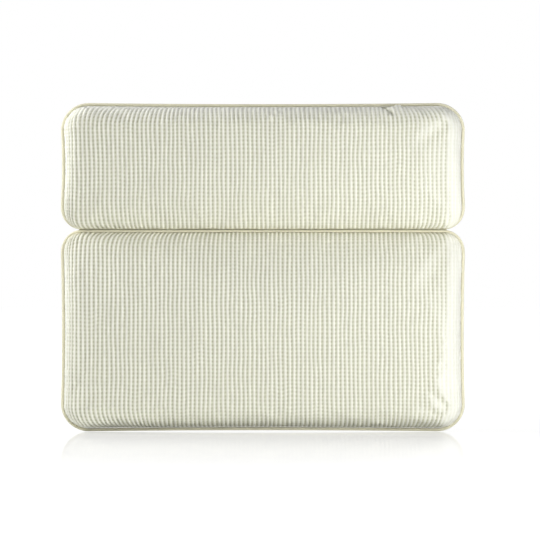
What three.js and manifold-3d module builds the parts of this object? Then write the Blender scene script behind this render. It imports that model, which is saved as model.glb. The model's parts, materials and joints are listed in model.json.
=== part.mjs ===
// Bath pillow: two padded panels in waffle knit, sewn together along a fold, with suction cups on their backs.
// Millimetres, +Z up. The padded faces look along -Y, the rims of the suction cups lie in the plane y = 0,
// and the fold runs along X at z = 0, so the upper panel is above it and the lower panel below.

import * as THREE from "three";
import { mergeVertices } from "three/addons/utils/BufferGeometryUtils.js";
import Module from "manifold-3d";

const wasm = await Module();
wasm.setup();

// Panels
const PANEL_WIDTH = 380;
const UPPER_HEIGHT = 119;
const LOWER_HEIGHT = 189;
const CORNER_RADIUS = 26;
const FOLD_CORNER_RADIUS = 20; // of the two corners at the fold
const SIDE_DRAW = 1; // how far a free side pulls in half way between its corners
const FRONT_RISE = 24; // from the seam to the edge of the padded face
const FRONT_CROWN = 5; // from the edge of the padded face to its middle
const FRONT_SHOULDER = 14; // width of the rounded front edge, seen from the front
const FOLD_SHOULDER = 5.5; // the same along the fold, where the two pads meet
const FOLD_DIP = 13; // how much lower a padded face is along the fold
const FOLD_REACH = 75; // how far from the fold's shoulder a face dips
const FOLD_TUCK = 1; // how much further in a front cover is sewn at the fold
const UPPER_FOLD_LAP = 2.8; // how far the upper cover laps over its piping at the fold
const LOWER_FOLD_LAP = 1; // the same on the lower panel, whose piping shows
const LAP_RISE = 3.4; // from the seam to where a cover laps furthest
const BACK_RISE = 12; // from the seam to the flat of the back
const BACK_SHOULDER = 16;
const KNIT_THICKNESS = 2;
const BACKING_THICKNESS = 1.2;
const PIPING_RADIUS = 1.5;
const FIT_GAP = 0.3; // between pieces that touch
const SEAM_GAP = 0.3; // between the sewn edges of a front cover and its back panel

// Fold
const FOLD_GAP = 0.8; // between the two pipings
const TAPE_THICKNESS = 0.8;
const TAPE_WIDTH = 6.6;
const TAPE_END_REACH = 3; // how far the tape runs on past where the corners begin
const TAPE_CORNER = 1.5;

// Suction cups, from the rim on the wall to the head inside the panel
const CUP_RADIUS = 24;
const CUP_RIM_WIDTH = 2;
const CUP_RIM_THICKNESS = 1;
const CUP_HOLLOW_DEPTH = 9;
const CUP_CROWN_HEIGHT = 12.5;
const CUP_HEIGHT = 13;
const CUP_COLLAR_RADIUS = 7.5;
const CUP_NECK_RADIUS = 5;
const CUP_HEAD_RADIUS = 8;
const CUP_HEAD_HEIGHT = 4;
const CUP_HEAD_CHAMFER = 2.5;
const UPPER_CUP_FROM_SIDE = 65;
const UPPER_CUP_FROM_FOLD = 62;
const LOWER_CUP_FROM_SIDE = 80;
const LOWER_CUP_FROM_FOLD = 55;
const LOWER_CUP_FROM_BOTTOM = 50;

// Grommets and their washers, which grip the back panel
const NECK_CLEARANCE = 0.5;
const GROMMET_WALL = 1.8;
const GROMMET_FLANGE_RADIUS = 12;
const GROMMET_FLANGE_THICKNESS = 1.4;
const GROMMET_EDGE = 0.6;
const WASHER_RADIUS = 12;
const WASHER_THICKNESS = 1.4;
const POCKET_CLEARANCE = 0.5; // round the washer and the cup's head, in the foam

// Facets
const CORNER_STEPS = 7;
const SIDE_STEPS = 5;
const SHOULDER_STEPS = 6;
const BACK_STEPS = 3;
const FACE_STEPS = 4;
const PIPING_SIDES = 8;
const ROUND_SEGMENTS = 20;
const CUP_ARC_STEPS = 4;

// Depths along Y that follow from the stack of parts between the wall and the panel
const GROMMET_OUTER_Y = -CUP_HEIGHT - FIT_GAP;
const GROMMET_INNER_Y = GROMMET_OUTER_Y - GROMMET_FLANGE_THICKNESS;
const BACK_Y = GROMMET_INNER_Y - FIT_GAP;
const BACK_INNER_Y = BACK_Y - BACKING_THICKNESS;
const WASHER_OUTER_Y = BACK_INNER_Y - FIT_GAP;
const WASHER_INNER_Y = WASHER_OUTER_Y - WASHER_THICKNESS;
const BARREL_END_Y = WASHER_INNER_Y - FIT_GAP;
const HEAD_OUTER_Y = BARREL_END_Y - FIT_GAP;
const HEAD_END_Y = HEAD_OUTER_Y - CUP_HEAD_HEIGHT;
const POCKET_END_Y = HEAD_END_Y - POCKET_CLEARANCE;
const SEAM_Y = BACK_Y - BACK_RISE;

// Radii of the parts on a cup's axis
const GROMMET_BORE_RADIUS = CUP_NECK_RADIUS + NECK_CLEARANCE;
const BARREL_RADIUS = GROMMET_BORE_RADIUS + GROMMET_WALL;
const BARREL_HOLE_RADIUS = BARREL_RADIUS + FIT_GAP;
const POCKET_RADIUS = Math.max(WASHER_RADIUS, CUP_HEAD_RADIUS) + POCKET_CLEARANCE;

// The covers begin inside the piping
const COVER_INSET = 2 * PIPING_RADIUS + FIT_GAP;
const QUARTER_TURN = Math.PI / 2;

const KNIT = { color: 0xdedccc, roughness: 0.95, metalness: 0 };
const BACKING = { color: 0xe4e1d2, roughness: 0.8, metalness: 0 };
const PIPING = { color: 0xcfcbb0, roughness: 0.85, metalness: 0 };
const FOAM = { color: 0xf2edda, roughness: 1, metalness: 0 };
const TAPE = { color: 0xd8d4bf, roughness: 0.9, metalness: 0 };
const CUP_VINYL = { color: 0xe3e8e6, roughness: 0.2, metalness: 0 };
const GROMMET_PLASTIC = { color: 0xf1f0ea, roughness: 0.35, metalness: 0 };

function named(name, geometry, finish) {
  const mesh = new THREE.Mesh(geometry, new THREE.MeshStandardMaterial(finish));
  mesh.name = name;
  return mesh;
}

// Outline of a panel, a fixed number of points counter-clockwise as seen from the front:
// rounded corners joined by sides that bow inwards by the panel's own amounts.
// It lies one distance in from the free sides, and another from the fold.
function outline(panel, inset, foldInset) {
  const freeCorner = {
    radius: CORNER_RADIUS - inset,
    x: PANEL_WIDTH / 2 - CORNER_RADIUS,
    z: panel.up * (panel.height / 2 - CORNER_RADIUS),
  };
  const foldRadius = FOLD_CORNER_RADIUS - inset;
  const foldCorner = {
    radius: foldRadius,
    x: PANEL_WIDTH / 2 - FOLD_CORNER_RADIUS,
    z: panel.up * (foldInset + foldRadius - panel.height / 2),
  };
  const [top, bottom] = panel.up > 0 ? [freeCorner, foldCorner] : [foldCorner, freeCorner];
  const arcs = [[top, 1], [top, -1], [bottom, -1], [bottom, 1]].map(([{ radius, x, z }, side], quarter) => {
    const start = quarter * QUARTER_TURN;
    return new THREE.EllipseCurve(side * x, z, radius, radius, start, start + QUARTER_TURN);
  });
  return arcs.flatMap((arc, quarter) => {
    const from = arc.getPoint(1);
    const to = arcs[(quarter + 1) % arcs.length].getPoint(0);
    const across = to.clone().sub(from).normalize();
    const inward = new THREE.Vector2(-across.y, across.x);
    const middle = from.clone().lerp(to, 0.5).addScaledVector(inward, 2 * panel.draws[quarter]);
    const side = new THREE.QuadraticBezierCurve(from, middle, to);
    return [...arc.getPoints(CORNER_STEPS), ...side.getPoints(SIDE_STEPS).slice(1, -1)];
  });
}

// One ring of a cushion, at distances in from the panel's outline and a depth along Y from the seam
function ring(panel, depth, inset, foldInset = inset) {
  return outline(panel, inset, foldInset).map((point) => new THREE.Vector3(point.x, depth, point.y));
}

// A rounded shoulder between two heights over the seam: a quarter ellipse, moved inwards by the offset.
// The insets are measured from the panel's outline. At the fold it starts further out, by the lap.
function shoulder(width, foldWidth, lap, low, high, offset, steps) {
  return Array.from({ length: steps + 1 }, (_, step) => {
    const angle = (step / steps) * QUARTER_TURN;
    const normal = new THREE.Vector2((high - low) * Math.cos(angle), width * Math.sin(angle)).normalize();
    const start = COVER_INSET + offset * normal.x;
    return {
      raised: Math.sin(angle),
      inset: start + width * (1 - Math.cos(angle)),
      foldInset: start + foldWidth - (foldWidth + lap) * Math.cos(angle),
      rise: low + (high - low) * Math.sin(angle) - offset * normal.y,
    };
  });
}

// How far a padded face is pressed in at a height, most along the fold
function foldDip(panel, z) {
  const fromShoulder = panel.up * z + panel.height / 2 - COVER_INSET - FOLD_SHOULDER;
  const share = 1 - THREE.MathUtils.clamp(fromShoulder / FOLD_REACH, 0, 1);
  return FOLD_DIP * share * share;
}

// Rings of a padded front from the seam to near the middle of its crowned face
function frontRings(panel, offset, shoulderSteps, faceSteps) {
  const faceRise = SEAM_GAP / 2 + FRONT_RISE;
  const seam = ring(panel, -SEAM_GAP / 2, COVER_INSET + offset, COVER_INSET + FOLD_TUCK + offset);
  const profile = shoulder(FRONT_SHOULDER, FOLD_SHOULDER, panel.foldLap, LAP_RISE, faceRise, offset, shoulderSteps);
  const raisedRings = profile.map(({ raised, inset, foldInset, rise }) => (
    { raised, points: ring(panel, -rise, inset, foldInset) }
  ));
  const edge = raisedRings.at(-1).points;
  for (let step = faceSteps - 1; step > 0; step -= 1) {
    const share = step / faceSteps;
    const crown = FRONT_CROWN * (1 - share * share);
    const points = edge.map((point) => new THREE.Vector3(point.x * share, point.y - crown, point.z * share));
    raisedRings.push({ raised: 1, points });
  }
  const dipped = raisedRings.map(({ raised, points }) => points.map(
    (point) => new THREE.Vector3(point.x, point.y + raised * foldDip(panel, point.z), point.z),
  ));
  return [seam, ...dipped];
}

function frontCentre(panel, offset) {
  const rise = SEAM_GAP / 2 + FRONT_RISE + FRONT_CROWN - offset;
  return new THREE.Vector3(0, foldDip(panel, 0) - rise, 0);
}

// Rings of a back from the seam to the edge of its flat
function backRings(panel, offset, steps) {
  const profile = shoulder(BACK_SHOULDER, BACK_SHOULDER, 0, SEAM_GAP / 2, BACK_RISE, offset, steps);
  return profile.map(({ inset, rise }) => ring(panel, rise, inset));
}

function backCentre(offset) {
  return new THREE.Vector3(0, BACK_RISE - offset, 0);
}

// Surface through rings of equal length, each facing outwards when the next lies behind it.
// It closes on a point at each end, or on its own first ring where no points are given.
// Each patch is split along its shorter diagonal, so that surfaces one inside the other are split alike.
function loft(rings, frontPoint, backPoint) {
  const count = rings[0].length;
  const at = (row, column) => (row % rings.length) * count + (column % count);
  const closedLoop = !frontPoint;
  const points = closedLoop ? rings.flat() : [...rings.flat(), frontPoint, backPoint];
  const index = [];
  for (let column = 0; column < count; column += 1) {
    for (let row = 0; row < rings.length - (closedLoop ? 0 : 1); row += 1) {
      const [a, b] = [at(row, column), at(row + 1, column)];
      const [d, c] = [at(row, column + 1), at(row + 1, column + 1)];
      const splitAtA = points[a].distanceToSquared(points[c]) < points[b].distanceToSquared(points[d]);
      index.push(...(splitAtA ? [a, b, c, a, c, d] : [a, b, d, b, c, d]));
    }
    if (!closedLoop) {
      const last = rings.length - 1;
      index.push(points.length - 2, at(0, column), at(0, column + 1));
      index.push(points.length - 1, at(last, column + 1), at(last, column));
    }
  }
  const geometry = new THREE.BufferGeometry().setFromPoints(points);
  geometry.setIndex(index);
  geometry.computeVertexNormals();
  return geometry;
}

function toSolid(geometry) {
  const bare = geometry.clone();
  bare.deleteAttribute("normal");
  bare.deleteAttribute("uv");
  const merged = mergeVertices(bare);
  const vertProperties = new Float32Array(merged.attributes.position.array);
  const triVerts = new Uint32Array(merged.index.array);
  return new wasm.Manifold(new wasm.Mesh({ numProp: 3, vertProperties, triVerts }));
}

function toGeometry(solid) {
  const { vertProperties, triVerts } = solid.getMesh();
  const geometry = new THREE.BufferGeometry();
  geometry.setAttribute("position", new THREE.BufferAttribute(vertProperties, 3));
  geometry.setIndex(new THREE.BufferAttribute(triVerts, 1));
  geometry.computeVertexNormals();
  return geometry;
}

// Cuts the same round hole along Y at each of a panel's cups, between two depths from the wall
function drillAtCups(geometry, panel, radius, fromY, toY) {
  const drill = new THREE.CylinderGeometry(radius, radius, fromY - toY, ROUND_SEGMENTS);
  drill.translate(0, (fromY + toY) / 2 - SEAM_Y, 0);
  const cut = panel.cups.reduce((body, cup) => {
    const hole = drill.clone().translate(cup.x, 0, cup.z - panel.centreZ);
    return body.subtract(toSolid(hole));
  }, toSolid(geometry));
  return toGeometry(cut);
}

function frontCover(panel) {
  const outside = frontRings(panel, 0, SHOULDER_STEPS, FACE_STEPS).reverse();
  const inside = frontRings(panel, KNIT_THICKNESS, SHOULDER_STEPS, FACE_STEPS);
  return loft([...outside, ...inside], frontCentre(panel, 0), frontCentre(panel, KNIT_THICKNESS));
}

function backPanel(panel) {
  const inside = backRings(panel, BACKING_THICKNESS, BACK_STEPS).reverse();
  const outside = backRings(panel, 0, BACK_STEPS);
  const shell = loft([...inside, ...outside], backCentre(BACKING_THICKNESS), backCentre(0));
  return drillAtCups(shell, panel, BARREL_HOLE_RADIUS, BACK_Y + FIT_GAP, BACK_INNER_Y - FIT_GAP);
}

function foamCore(panel) {
  const frontOffset = KNIT_THICKNESS + FIT_GAP;
  const backOffset = BACKING_THICKNESS + FIT_GAP;
  const front = frontRings(panel, frontOffset, SHOULDER_STEPS, FACE_STEPS).reverse();
  const back = backRings(panel, backOffset, BACK_STEPS).slice(1);
  const pad = loft([...front, ...back], frontCentre(panel, frontOffset), backCentre(backOffset));
  return drillAtCups(pad, panel, POCKET_RADIUS, BACK_Y, POCKET_END_Y);
}

// Round piping whose outer edge is the panel's outline, with its middle in the plane of the seam
function piping(panel) {
  const rings = Array.from({ length: PIPING_SIDES }, (_, side) => {
    const angle = (side / PIPING_SIDES) * 2 * Math.PI;
    return ring(panel, -PIPING_RADIUS * Math.sin(angle), PIPING_RADIUS * (1 + Math.cos(angle)));
  });
  return loft(rings);
}

// Points of a quarter of an ellipse about the cup's axis, from its top on the axis to its edge
function bell(radius, height, edgeY) {
  return Array.from({ length: CUP_ARC_STEPS + 1 }, (_, step) => {
    const angle = (step / CUP_ARC_STEPS) * QUARTER_TURN;
    return new THREE.Vector2(radius * Math.sin(angle), edgeY - height * Math.cos(angle));
  });
}

// A body of revolution about Y with the middle of one facet straight above the axis
function revolve(profile) {
  return new THREE.LatheGeometry(profile, ROUND_SEGMENTS, -Math.PI / ROUND_SEGMENTS);
}

function ringProfile(corners) {
  return revolve([...corners, corners[0]].map(([radius, y]) => new THREE.Vector2(radius, y)));
}

// Suction cup moulded in one piece with its neck and mushroom head
function suctionCup() {
  const stem = [
    [0, HEAD_END_Y],
    [CUP_HEAD_RADIUS - CUP_HEAD_CHAMFER, HEAD_END_Y],
    [CUP_HEAD_RADIUS, HEAD_END_Y + CUP_HEAD_CHAMFER],
    [CUP_HEAD_RADIUS, HEAD_OUTER_Y],
    [CUP_NECK_RADIUS, HEAD_OUTER_Y],
    [CUP_NECK_RADIUS, -CUP_HEIGHT],
    [CUP_COLLAR_RADIUS, -CUP_HEIGHT],
  ].map(([radius, y]) => new THREE.Vector2(radius, y));
  const dome = bell(CUP_RADIUS, CUP_CROWN_HEIGHT - CUP_RIM_THICKNESS, -CUP_RIM_THICKNESS).slice(1);
  const rim = new THREE.Vector2(CUP_RADIUS, 0);
  const hollow = bell(CUP_RADIUS - CUP_RIM_WIDTH, CUP_HOLLOW_DEPTH, 0).reverse();
  return revolve([...stem, ...dome, rim, ...hollow]);
}

function grommet() {
  return ringProfile([
    [GROMMET_BORE_RADIUS, BARREL_END_Y],
    [BARREL_RADIUS, BARREL_END_Y],
    [BARREL_RADIUS, GROMMET_INNER_Y],
    [GROMMET_FLANGE_RADIUS, GROMMET_INNER_Y],
    [GROMMET_FLANGE_RADIUS, GROMMET_OUTER_Y - GROMMET_EDGE],
    [GROMMET_FLANGE_RADIUS - GROMMET_EDGE, GROMMET_OUTER_Y],
    [GROMMET_BORE_RADIUS, GROMMET_OUTER_Y],
  ]);
}

function washer() {
  return ringProfile([
    [BARREL_HOLE_RADIUS, WASHER_INNER_Y],
    [WASHER_RADIUS, WASHER_INNER_Y],
    [WASHER_RADIUS, WASHER_OUTER_Y],
    [BARREL_HOLE_RADIUS, WASHER_OUTER_Y],
  ]);
}

// Woven tape behind the two pipings, sewn to both panels along the straight of the fold
function hingeTape() {
  const halfLength = PANEL_WIDTH / 2 - FOLD_CORNER_RADIUS + TAPE_END_REACH;
  const halfWidth = TAPE_WIDTH / 2;
  const shape = new THREE.Shape();
  shape.moveTo(halfLength - TAPE_CORNER, -halfWidth);
  shape.lineTo(halfLength, TAPE_CORNER - halfWidth);
  shape.lineTo(halfLength, halfWidth - TAPE_CORNER);
  shape.lineTo(halfLength - TAPE_CORNER, halfWidth);
  shape.lineTo(TAPE_CORNER - halfLength, halfWidth);
  shape.lineTo(-halfLength, halfWidth - TAPE_CORNER);
  shape.lineTo(-halfLength, TAPE_CORNER - halfWidth);
  shape.lineTo(TAPE_CORNER - halfLength, -halfWidth);
  const strip = new THREE.ExtrudeGeometry(shape, { depth: TAPE_THICKNESS, bevelEnabled: false });
  strip.rotateX(QUARTER_TURN);
  strip.translate(0, TAPE_THICKNESS + PIPING_RADIUS + FIT_GAP, 0);
  return strip;
}

// The padded cushion of one panel, in a group at the middle of its outline in the plane of the seam
function cushion(panel) {
  const group = new THREE.Group();
  group.position.set(0, SEAM_Y, panel.centreZ);
  group.add(
    named(`${panel.name}_front_cover`, frontCover(panel), KNIT),
    named(`${panel.name}_back_panel`, backPanel(panel), BACKING),
    named(`${panel.name}_foam_core`, foamCore(panel), FOAM),
    named(`${panel.name}_piping`, piping(panel), PIPING),
  );
  return group;
}

// One suction cup with the grommet and the washer that hold it, on an axis square to the wall
function cupSet({ name, x, z }) {
  const group = new THREE.Group();
  group.position.set(x, 0, z);
  group.add(
    named(`${name}_suction_cup`, suctionCup(), CUP_VINYL),
    named(`${name}_grommet`, grommet(), GROMMET_PLASTIC),
    named(`${name}_grommet_washer`, washer(), GROMMET_PLASTIC),
  );
  return group;
}

const UPPER_PANEL = {
  name: "upper",
  up: 1, // away from the fold, along Z
  height: UPPER_HEIGHT,
  foldLap: UPPER_FOLD_LAP,
  centreZ: (FOLD_GAP + UPPER_HEIGHT) / 2,
  draws: [SIDE_DRAW, SIDE_DRAW, 0, SIDE_DRAW], // top, left, fold, right
  cups: ["left", "middle", "right"].map((side, column) => ({
    name: `upper_${side}`,
    x: (column - 1) * (PANEL_WIDTH / 2 - UPPER_CUP_FROM_SIDE),
    z: UPPER_CUP_FROM_FOLD,
  })),
};

const LOWER_PANEL = {
  name: "lower",
  up: -1,
  height: LOWER_HEIGHT,
  foldLap: LOWER_FOLD_LAP,
  centreZ: -(FOLD_GAP + LOWER_HEIGHT) / 2,
  draws: [0, SIDE_DRAW, SIDE_DRAW, SIDE_DRAW], // fold, left, bottom, right
  cups: ["near", "far"].flatMap((row) => ["left", "right"].map((side) => ({
    name: `lower_${row}_${side}`,
    x: (side === "left" ? -1 : 1) * (PANEL_WIDTH / 2 - LOWER_CUP_FROM_SIDE),
    z: row === "near" ? -LOWER_CUP_FROM_FOLD : LOWER_CUP_FROM_BOTTOM - FOLD_GAP / 2 - LOWER_HEIGHT,
  }))),
};

const bathPillow = new THREE.Group();
for (const panel of [UPPER_PANEL, LOWER_PANEL]) {
  bathPillow.add(cushion(panel), ...panel.cups.map(cupSet));
}
const fold = new THREE.Group();
fold.position.set(0, SEAM_Y, 0);
fold.add(named("hinge_tape", hingeTape(), TAPE));
bathPillow.add(fold);

export default bathPillow;
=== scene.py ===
"""Bath pillow: two padded panels of waffle knit, sewn at a fold, with suction cups on the back."""

import json
import logging
import math
from collections.abc import Iterator
from contextlib import contextmanager
from dataclasses import dataclass, replace
from enum import Enum
from typing import Any

import bmesh
import bpy
import numpy as np
from mathutils import Matrix, Vector

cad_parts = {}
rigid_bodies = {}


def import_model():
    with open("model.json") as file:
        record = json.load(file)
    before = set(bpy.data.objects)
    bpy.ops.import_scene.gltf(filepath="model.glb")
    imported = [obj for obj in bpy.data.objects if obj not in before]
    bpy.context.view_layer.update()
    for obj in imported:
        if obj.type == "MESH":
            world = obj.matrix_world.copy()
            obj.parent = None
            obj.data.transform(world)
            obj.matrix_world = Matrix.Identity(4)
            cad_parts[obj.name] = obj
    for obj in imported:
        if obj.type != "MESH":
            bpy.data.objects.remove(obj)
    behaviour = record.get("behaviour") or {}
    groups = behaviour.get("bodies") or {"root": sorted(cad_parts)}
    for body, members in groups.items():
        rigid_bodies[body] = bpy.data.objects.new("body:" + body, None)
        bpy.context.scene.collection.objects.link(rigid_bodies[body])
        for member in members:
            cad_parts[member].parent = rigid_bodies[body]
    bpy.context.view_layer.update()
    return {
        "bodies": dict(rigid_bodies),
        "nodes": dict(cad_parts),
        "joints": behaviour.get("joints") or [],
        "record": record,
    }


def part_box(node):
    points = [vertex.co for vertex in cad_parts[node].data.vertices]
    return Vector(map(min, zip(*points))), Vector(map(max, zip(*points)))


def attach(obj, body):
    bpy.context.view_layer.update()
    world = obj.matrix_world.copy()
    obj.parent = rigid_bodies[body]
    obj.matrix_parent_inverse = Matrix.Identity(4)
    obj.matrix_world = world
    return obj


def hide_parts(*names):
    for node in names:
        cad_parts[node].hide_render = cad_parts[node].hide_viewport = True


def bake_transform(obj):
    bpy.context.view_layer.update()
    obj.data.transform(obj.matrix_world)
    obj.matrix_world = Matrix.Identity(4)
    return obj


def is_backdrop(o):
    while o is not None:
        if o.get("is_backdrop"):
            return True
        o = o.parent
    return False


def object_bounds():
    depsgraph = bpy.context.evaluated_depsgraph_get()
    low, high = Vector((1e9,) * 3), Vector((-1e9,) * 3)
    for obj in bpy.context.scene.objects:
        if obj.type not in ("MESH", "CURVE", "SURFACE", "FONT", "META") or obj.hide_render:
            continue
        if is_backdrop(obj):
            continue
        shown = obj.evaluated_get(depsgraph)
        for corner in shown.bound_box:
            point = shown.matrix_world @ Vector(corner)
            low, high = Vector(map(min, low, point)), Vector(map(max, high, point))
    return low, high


LOG = logging.getLogger("bath_pillow")

MM = 0.001
FULL_TURN = 2.0 * math.pi
QUARTER_TURN = 0.5 * math.pi
ORIGIN = (0.0, 0.0, 0.0)
CURVE_STEPS = 160
TINY = 1e-9
SEED = 7

# Stiffness and pressure that fill a knit cover and hardly stretch it.
FILLING = {
    "quality": 6,
    "mass": 0.3,
    "tension_stiffness": 25.0,
    "compression_stiffness": 25.0,
    "shear_stiffness": 8.0,
    "bending_stiffness": 1.5,
    "shrink_min": -0.004,
    "use_pressure": True,
    "uniform_pressure_force": 2.0,
    "vertex_group_mass": "seam",
}

CUP_NAMES = {
    "upper": ("upper_left", "upper_middle", "upper_right"),
    "lower": ("lower_near_left", "lower_near_right", "lower_far_left", "lower_far_right"),
}


class Panel(Enum):
    """The two padded panels, by the direction in which each leaves the fold."""

    UPPER = 1
    LOWER = -1

    @property
    def label(self) -> str:
        """Start of the names of the panel's pieces."""
        return self.name.lower()

    @property
    def body(self) -> str:
        """Name of the body that the panel's pieces ride on."""
        return f"{self.label}_panel"

    @property
    def cups(self) -> tuple[str, ...]:
        """Names of the suction cups on the panel."""
        return CUP_NAMES[self.label]


class Face(Enum):
    """The two faces of a panel, by the direction in which each looks along Y."""

    PADDED = -1
    BACK = 1


class WallPart(Enum):
    """The halves of a padded face's end walls, by whether each is at the fold and on the left."""

    FREE_LEFT = (False, True)
    FREE_RIGHT = (False, False)
    FOLD_LEFT = (True, True)
    FOLD_RIGHT = (True, False)

    @property
    def at_fold(self) -> bool:
        """Whether it is at the fold."""
        return self.value[0]

    @property
    def left(self) -> bool:
        """Whether it is left of the panel's middle."""
        return self.value[1]


# Helpers for colours, nodes and operators


def linear(code: str) -> tuple[float, float, float, float]:
    """Turns an sRGB hex colour into linear values.

    Args:
        code: colour as "#RRGGBB".

    Returns:
        Red, green, blue and an alpha of one.
    """
    parts = [int(code[i:i + 2], 16) / 255.0 for i in (1, 3, 5)]
    values = [p / 12.92 if p <= 0.04045 else ((p + 0.055) / 1.055) ** 2.4 for p in parts]
    return (values[0], values[1], values[2], 1.0)


def feed(tree: bpy.types.NodeTree, node: bpy.types.Node, values: dict[str | int, Any]) -> None:
    """Gives a node its settings and links.

    Args:
        tree: the node tree that holds the node.
        node: the node.
        values: settings by name, and inputs by name or number. An output socket is linked.
    """
    for key, value in values.items():
        if isinstance(value, bpy.types.NodeSocket):
            tree.links.new(value, node.inputs[key])
        elif isinstance(key, str) and hasattr(node, key):
            setattr(node, key, value)
        else:
            node.inputs[key].default_value = value


def add_node(tree: bpy.types.NodeTree, kind: str, values: dict[str | int, Any]) -> bpy.types.Node:
    """Adds a node with its settings and links.

    Args:
        tree: the node tree to add it to.
        kind: Blender's type name of the node.
        values: settings by name, and inputs by name or number. An output socket is linked.

    Returns:
        The new node.
    """
    node = tree.nodes.new(kind)
    feed(tree, node, values)
    return node


def set_ramp(node: bpy.types.Node, stops: list[tuple[float, str]]) -> bpy.types.NodeSocket:
    """Gives a colour ramp its stops.

    Args:
        node: the ramp.
        stops: place and hex colour of each stop, the first two on the ramp's own stops.

    Returns:
        The ramp's colour socket.
    """
    ramp = node.color_ramp
    for number, (place, code) in enumerate(stops):
        stop = ramp.elements[number] if number < 2 else ramp.elements.new(place)
        stop.position = place
        stop.color = linear(code)
    return node.outputs["Color"]


def new_material(name: str) -> tuple[bpy.types.Material, bpy.types.NodeTree, bpy.types.Node]:
    """Starts a material.

    Args:
        name: name of the finish.

    Returns:
        The material, its node tree and its principled shader.
    """
    material = bpy.data.materials.new(name)
    material.use_nodes = True
    tree = material.node_tree
    return material, tree, tree.nodes["Principled BSDF"]


def select_only(obj: bpy.types.Object | None = None) -> None:
    """Deselects everything, then selects one object and makes it the active one.

    Args:
        obj: the object, or None to leave nothing selected.
    """
    bpy.ops.object.select_all(action="DESELECT")
    if obj is not None:
        obj.select_set(True)
        bpy.context.view_layer.objects.active = obj


@contextmanager
def editing(obj: bpy.types.Object) -> Iterator[bpy.types.Object]:
    """Opens one object in edit mode with everything selected.

    Args:
        obj: the object to edit.

    Yields:
        The same object.
    """
    select_only(obj)
    bpy.ops.object.mode_set(mode="EDIT")
    bpy.ops.mesh.select_mode(type="VERT")
    bpy.ops.mesh.select_all(action="SELECT")
    yield obj
    bpy.ops.object.mode_set(mode="OBJECT")


def apply_modifier(obj: bpy.types.Object, kind: str, **settings: Any) -> None:
    """Adds a modifier and applies it.

    Args:
        obj: the object to change.
        kind: Blender's type name of the modifier.
        settings: the modifier's settings by name.
    """
    select_only(obj)
    modifier = obj.modifiers.new(kind.title(), kind)
    for key, value in settings.items():
        setattr(modifier, key, value)
    bpy.ops.object.modifier_apply(modifier=modifier.name)


def dress(obj: bpy.types.Object, name: str, material: bpy.types.Material) -> bpy.types.Object:
    """Names a finished piece, smooths it and gives it its material.

    Args:
        obj: the piece.
        name: its name.
        material: its finish.

    Returns:
        The same piece.
    """
    obj.name = name
    obj.data.name = name
    obj.data.materials.clear()
    obj.data.materials.append(material)
    obj.data.shade_smooth()
    LOG.info("%s: %d faces", name, len(obj.data.polygons))
    return obj


def copy_to(obj: bpy.types.Object, name: str, place: Vector) -> bpy.types.Object:
    """Copies a piece that was modelled at the origin, with a mesh of its own.

    Args:
        obj: the piece to copy.
        name: name of the copy.
        place: where the copy's origin goes.

    Returns:
        The copy, with its place in its mesh.
    """
    twin = obj.copy()
    twin.data = obj.data.copy()
    twin.data.transform(Matrix.Translation(place))
    twin.name = name
    twin.data.name = name
    bpy.context.scene.collection.objects.link(twin)
    return twin


def remove(obj: bpy.types.Object) -> None:
    """Deletes a helper object with its mesh.

    Args:
        obj: the object to delete.
    """
    mesh = obj.data
    bpy.data.objects.remove(obj)
    bpy.data.meshes.remove(mesh)


# Helpers for grids of cloth


def smooth_step(low: float, high: float, value: np.ndarray) -> np.ndarray:
    """Smooth rise from 0 at low to 1 at high."""
    share = np.clip((value - low) / (high - low), 0.0, 1.0)
    return share * share * (3.0 - 2.0 * share)


def resample(grid: np.ndarray, rows: int, columns: int) -> np.ndarray:
    """Draws a smooth surface through a coarse grid of values and reads it on a finer grid.

    Args:
        grid: values, rows first.
        rows: rows of the finer grid.
        columns: columns of the finer grid.

    Returns:
        The values on the finer grid.
    """
    for axis, count in ((0, rows), (1, columns)):
        last = grid.shape[axis] - 1
        at = np.linspace(0.0, last, count)
        index = np.minimum(at.astype(int), last - 1)
        shape = [1] * grid.ndim
        shape[axis] = count
        t = (at - index).reshape(shape)
        near = [np.take(grid, np.clip(index + k, 0, last), axis=axis) for k in (-1, 0, 1, 2)]
        grid = 0.5 * (
            near[0] * (-t + 2.0 * t**2 - t**3)
            + near[1] * (2.0 - 5.0 * t**2 + 3.0 * t**3)
            + near[2] * (t + 4.0 * t**2 - 3.0 * t**3)
            + near[3] * (t**3 - t**2)
        )
    return grid


def surface_normals(points: np.ndarray) -> np.ndarray:
    """Works out which way a surface looks.

    Args:
        points: places on the surface, rows first.

    Returns:
        A unit normal for each place.
    """
    across = np.gradient(points, axis=1)
    along = np.gradient(points, axis=0)
    normals = np.cross(across, along)
    return normals / np.maximum(np.linalg.norm(normals, axis=2, keepdims=True), 1e-12)


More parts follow.
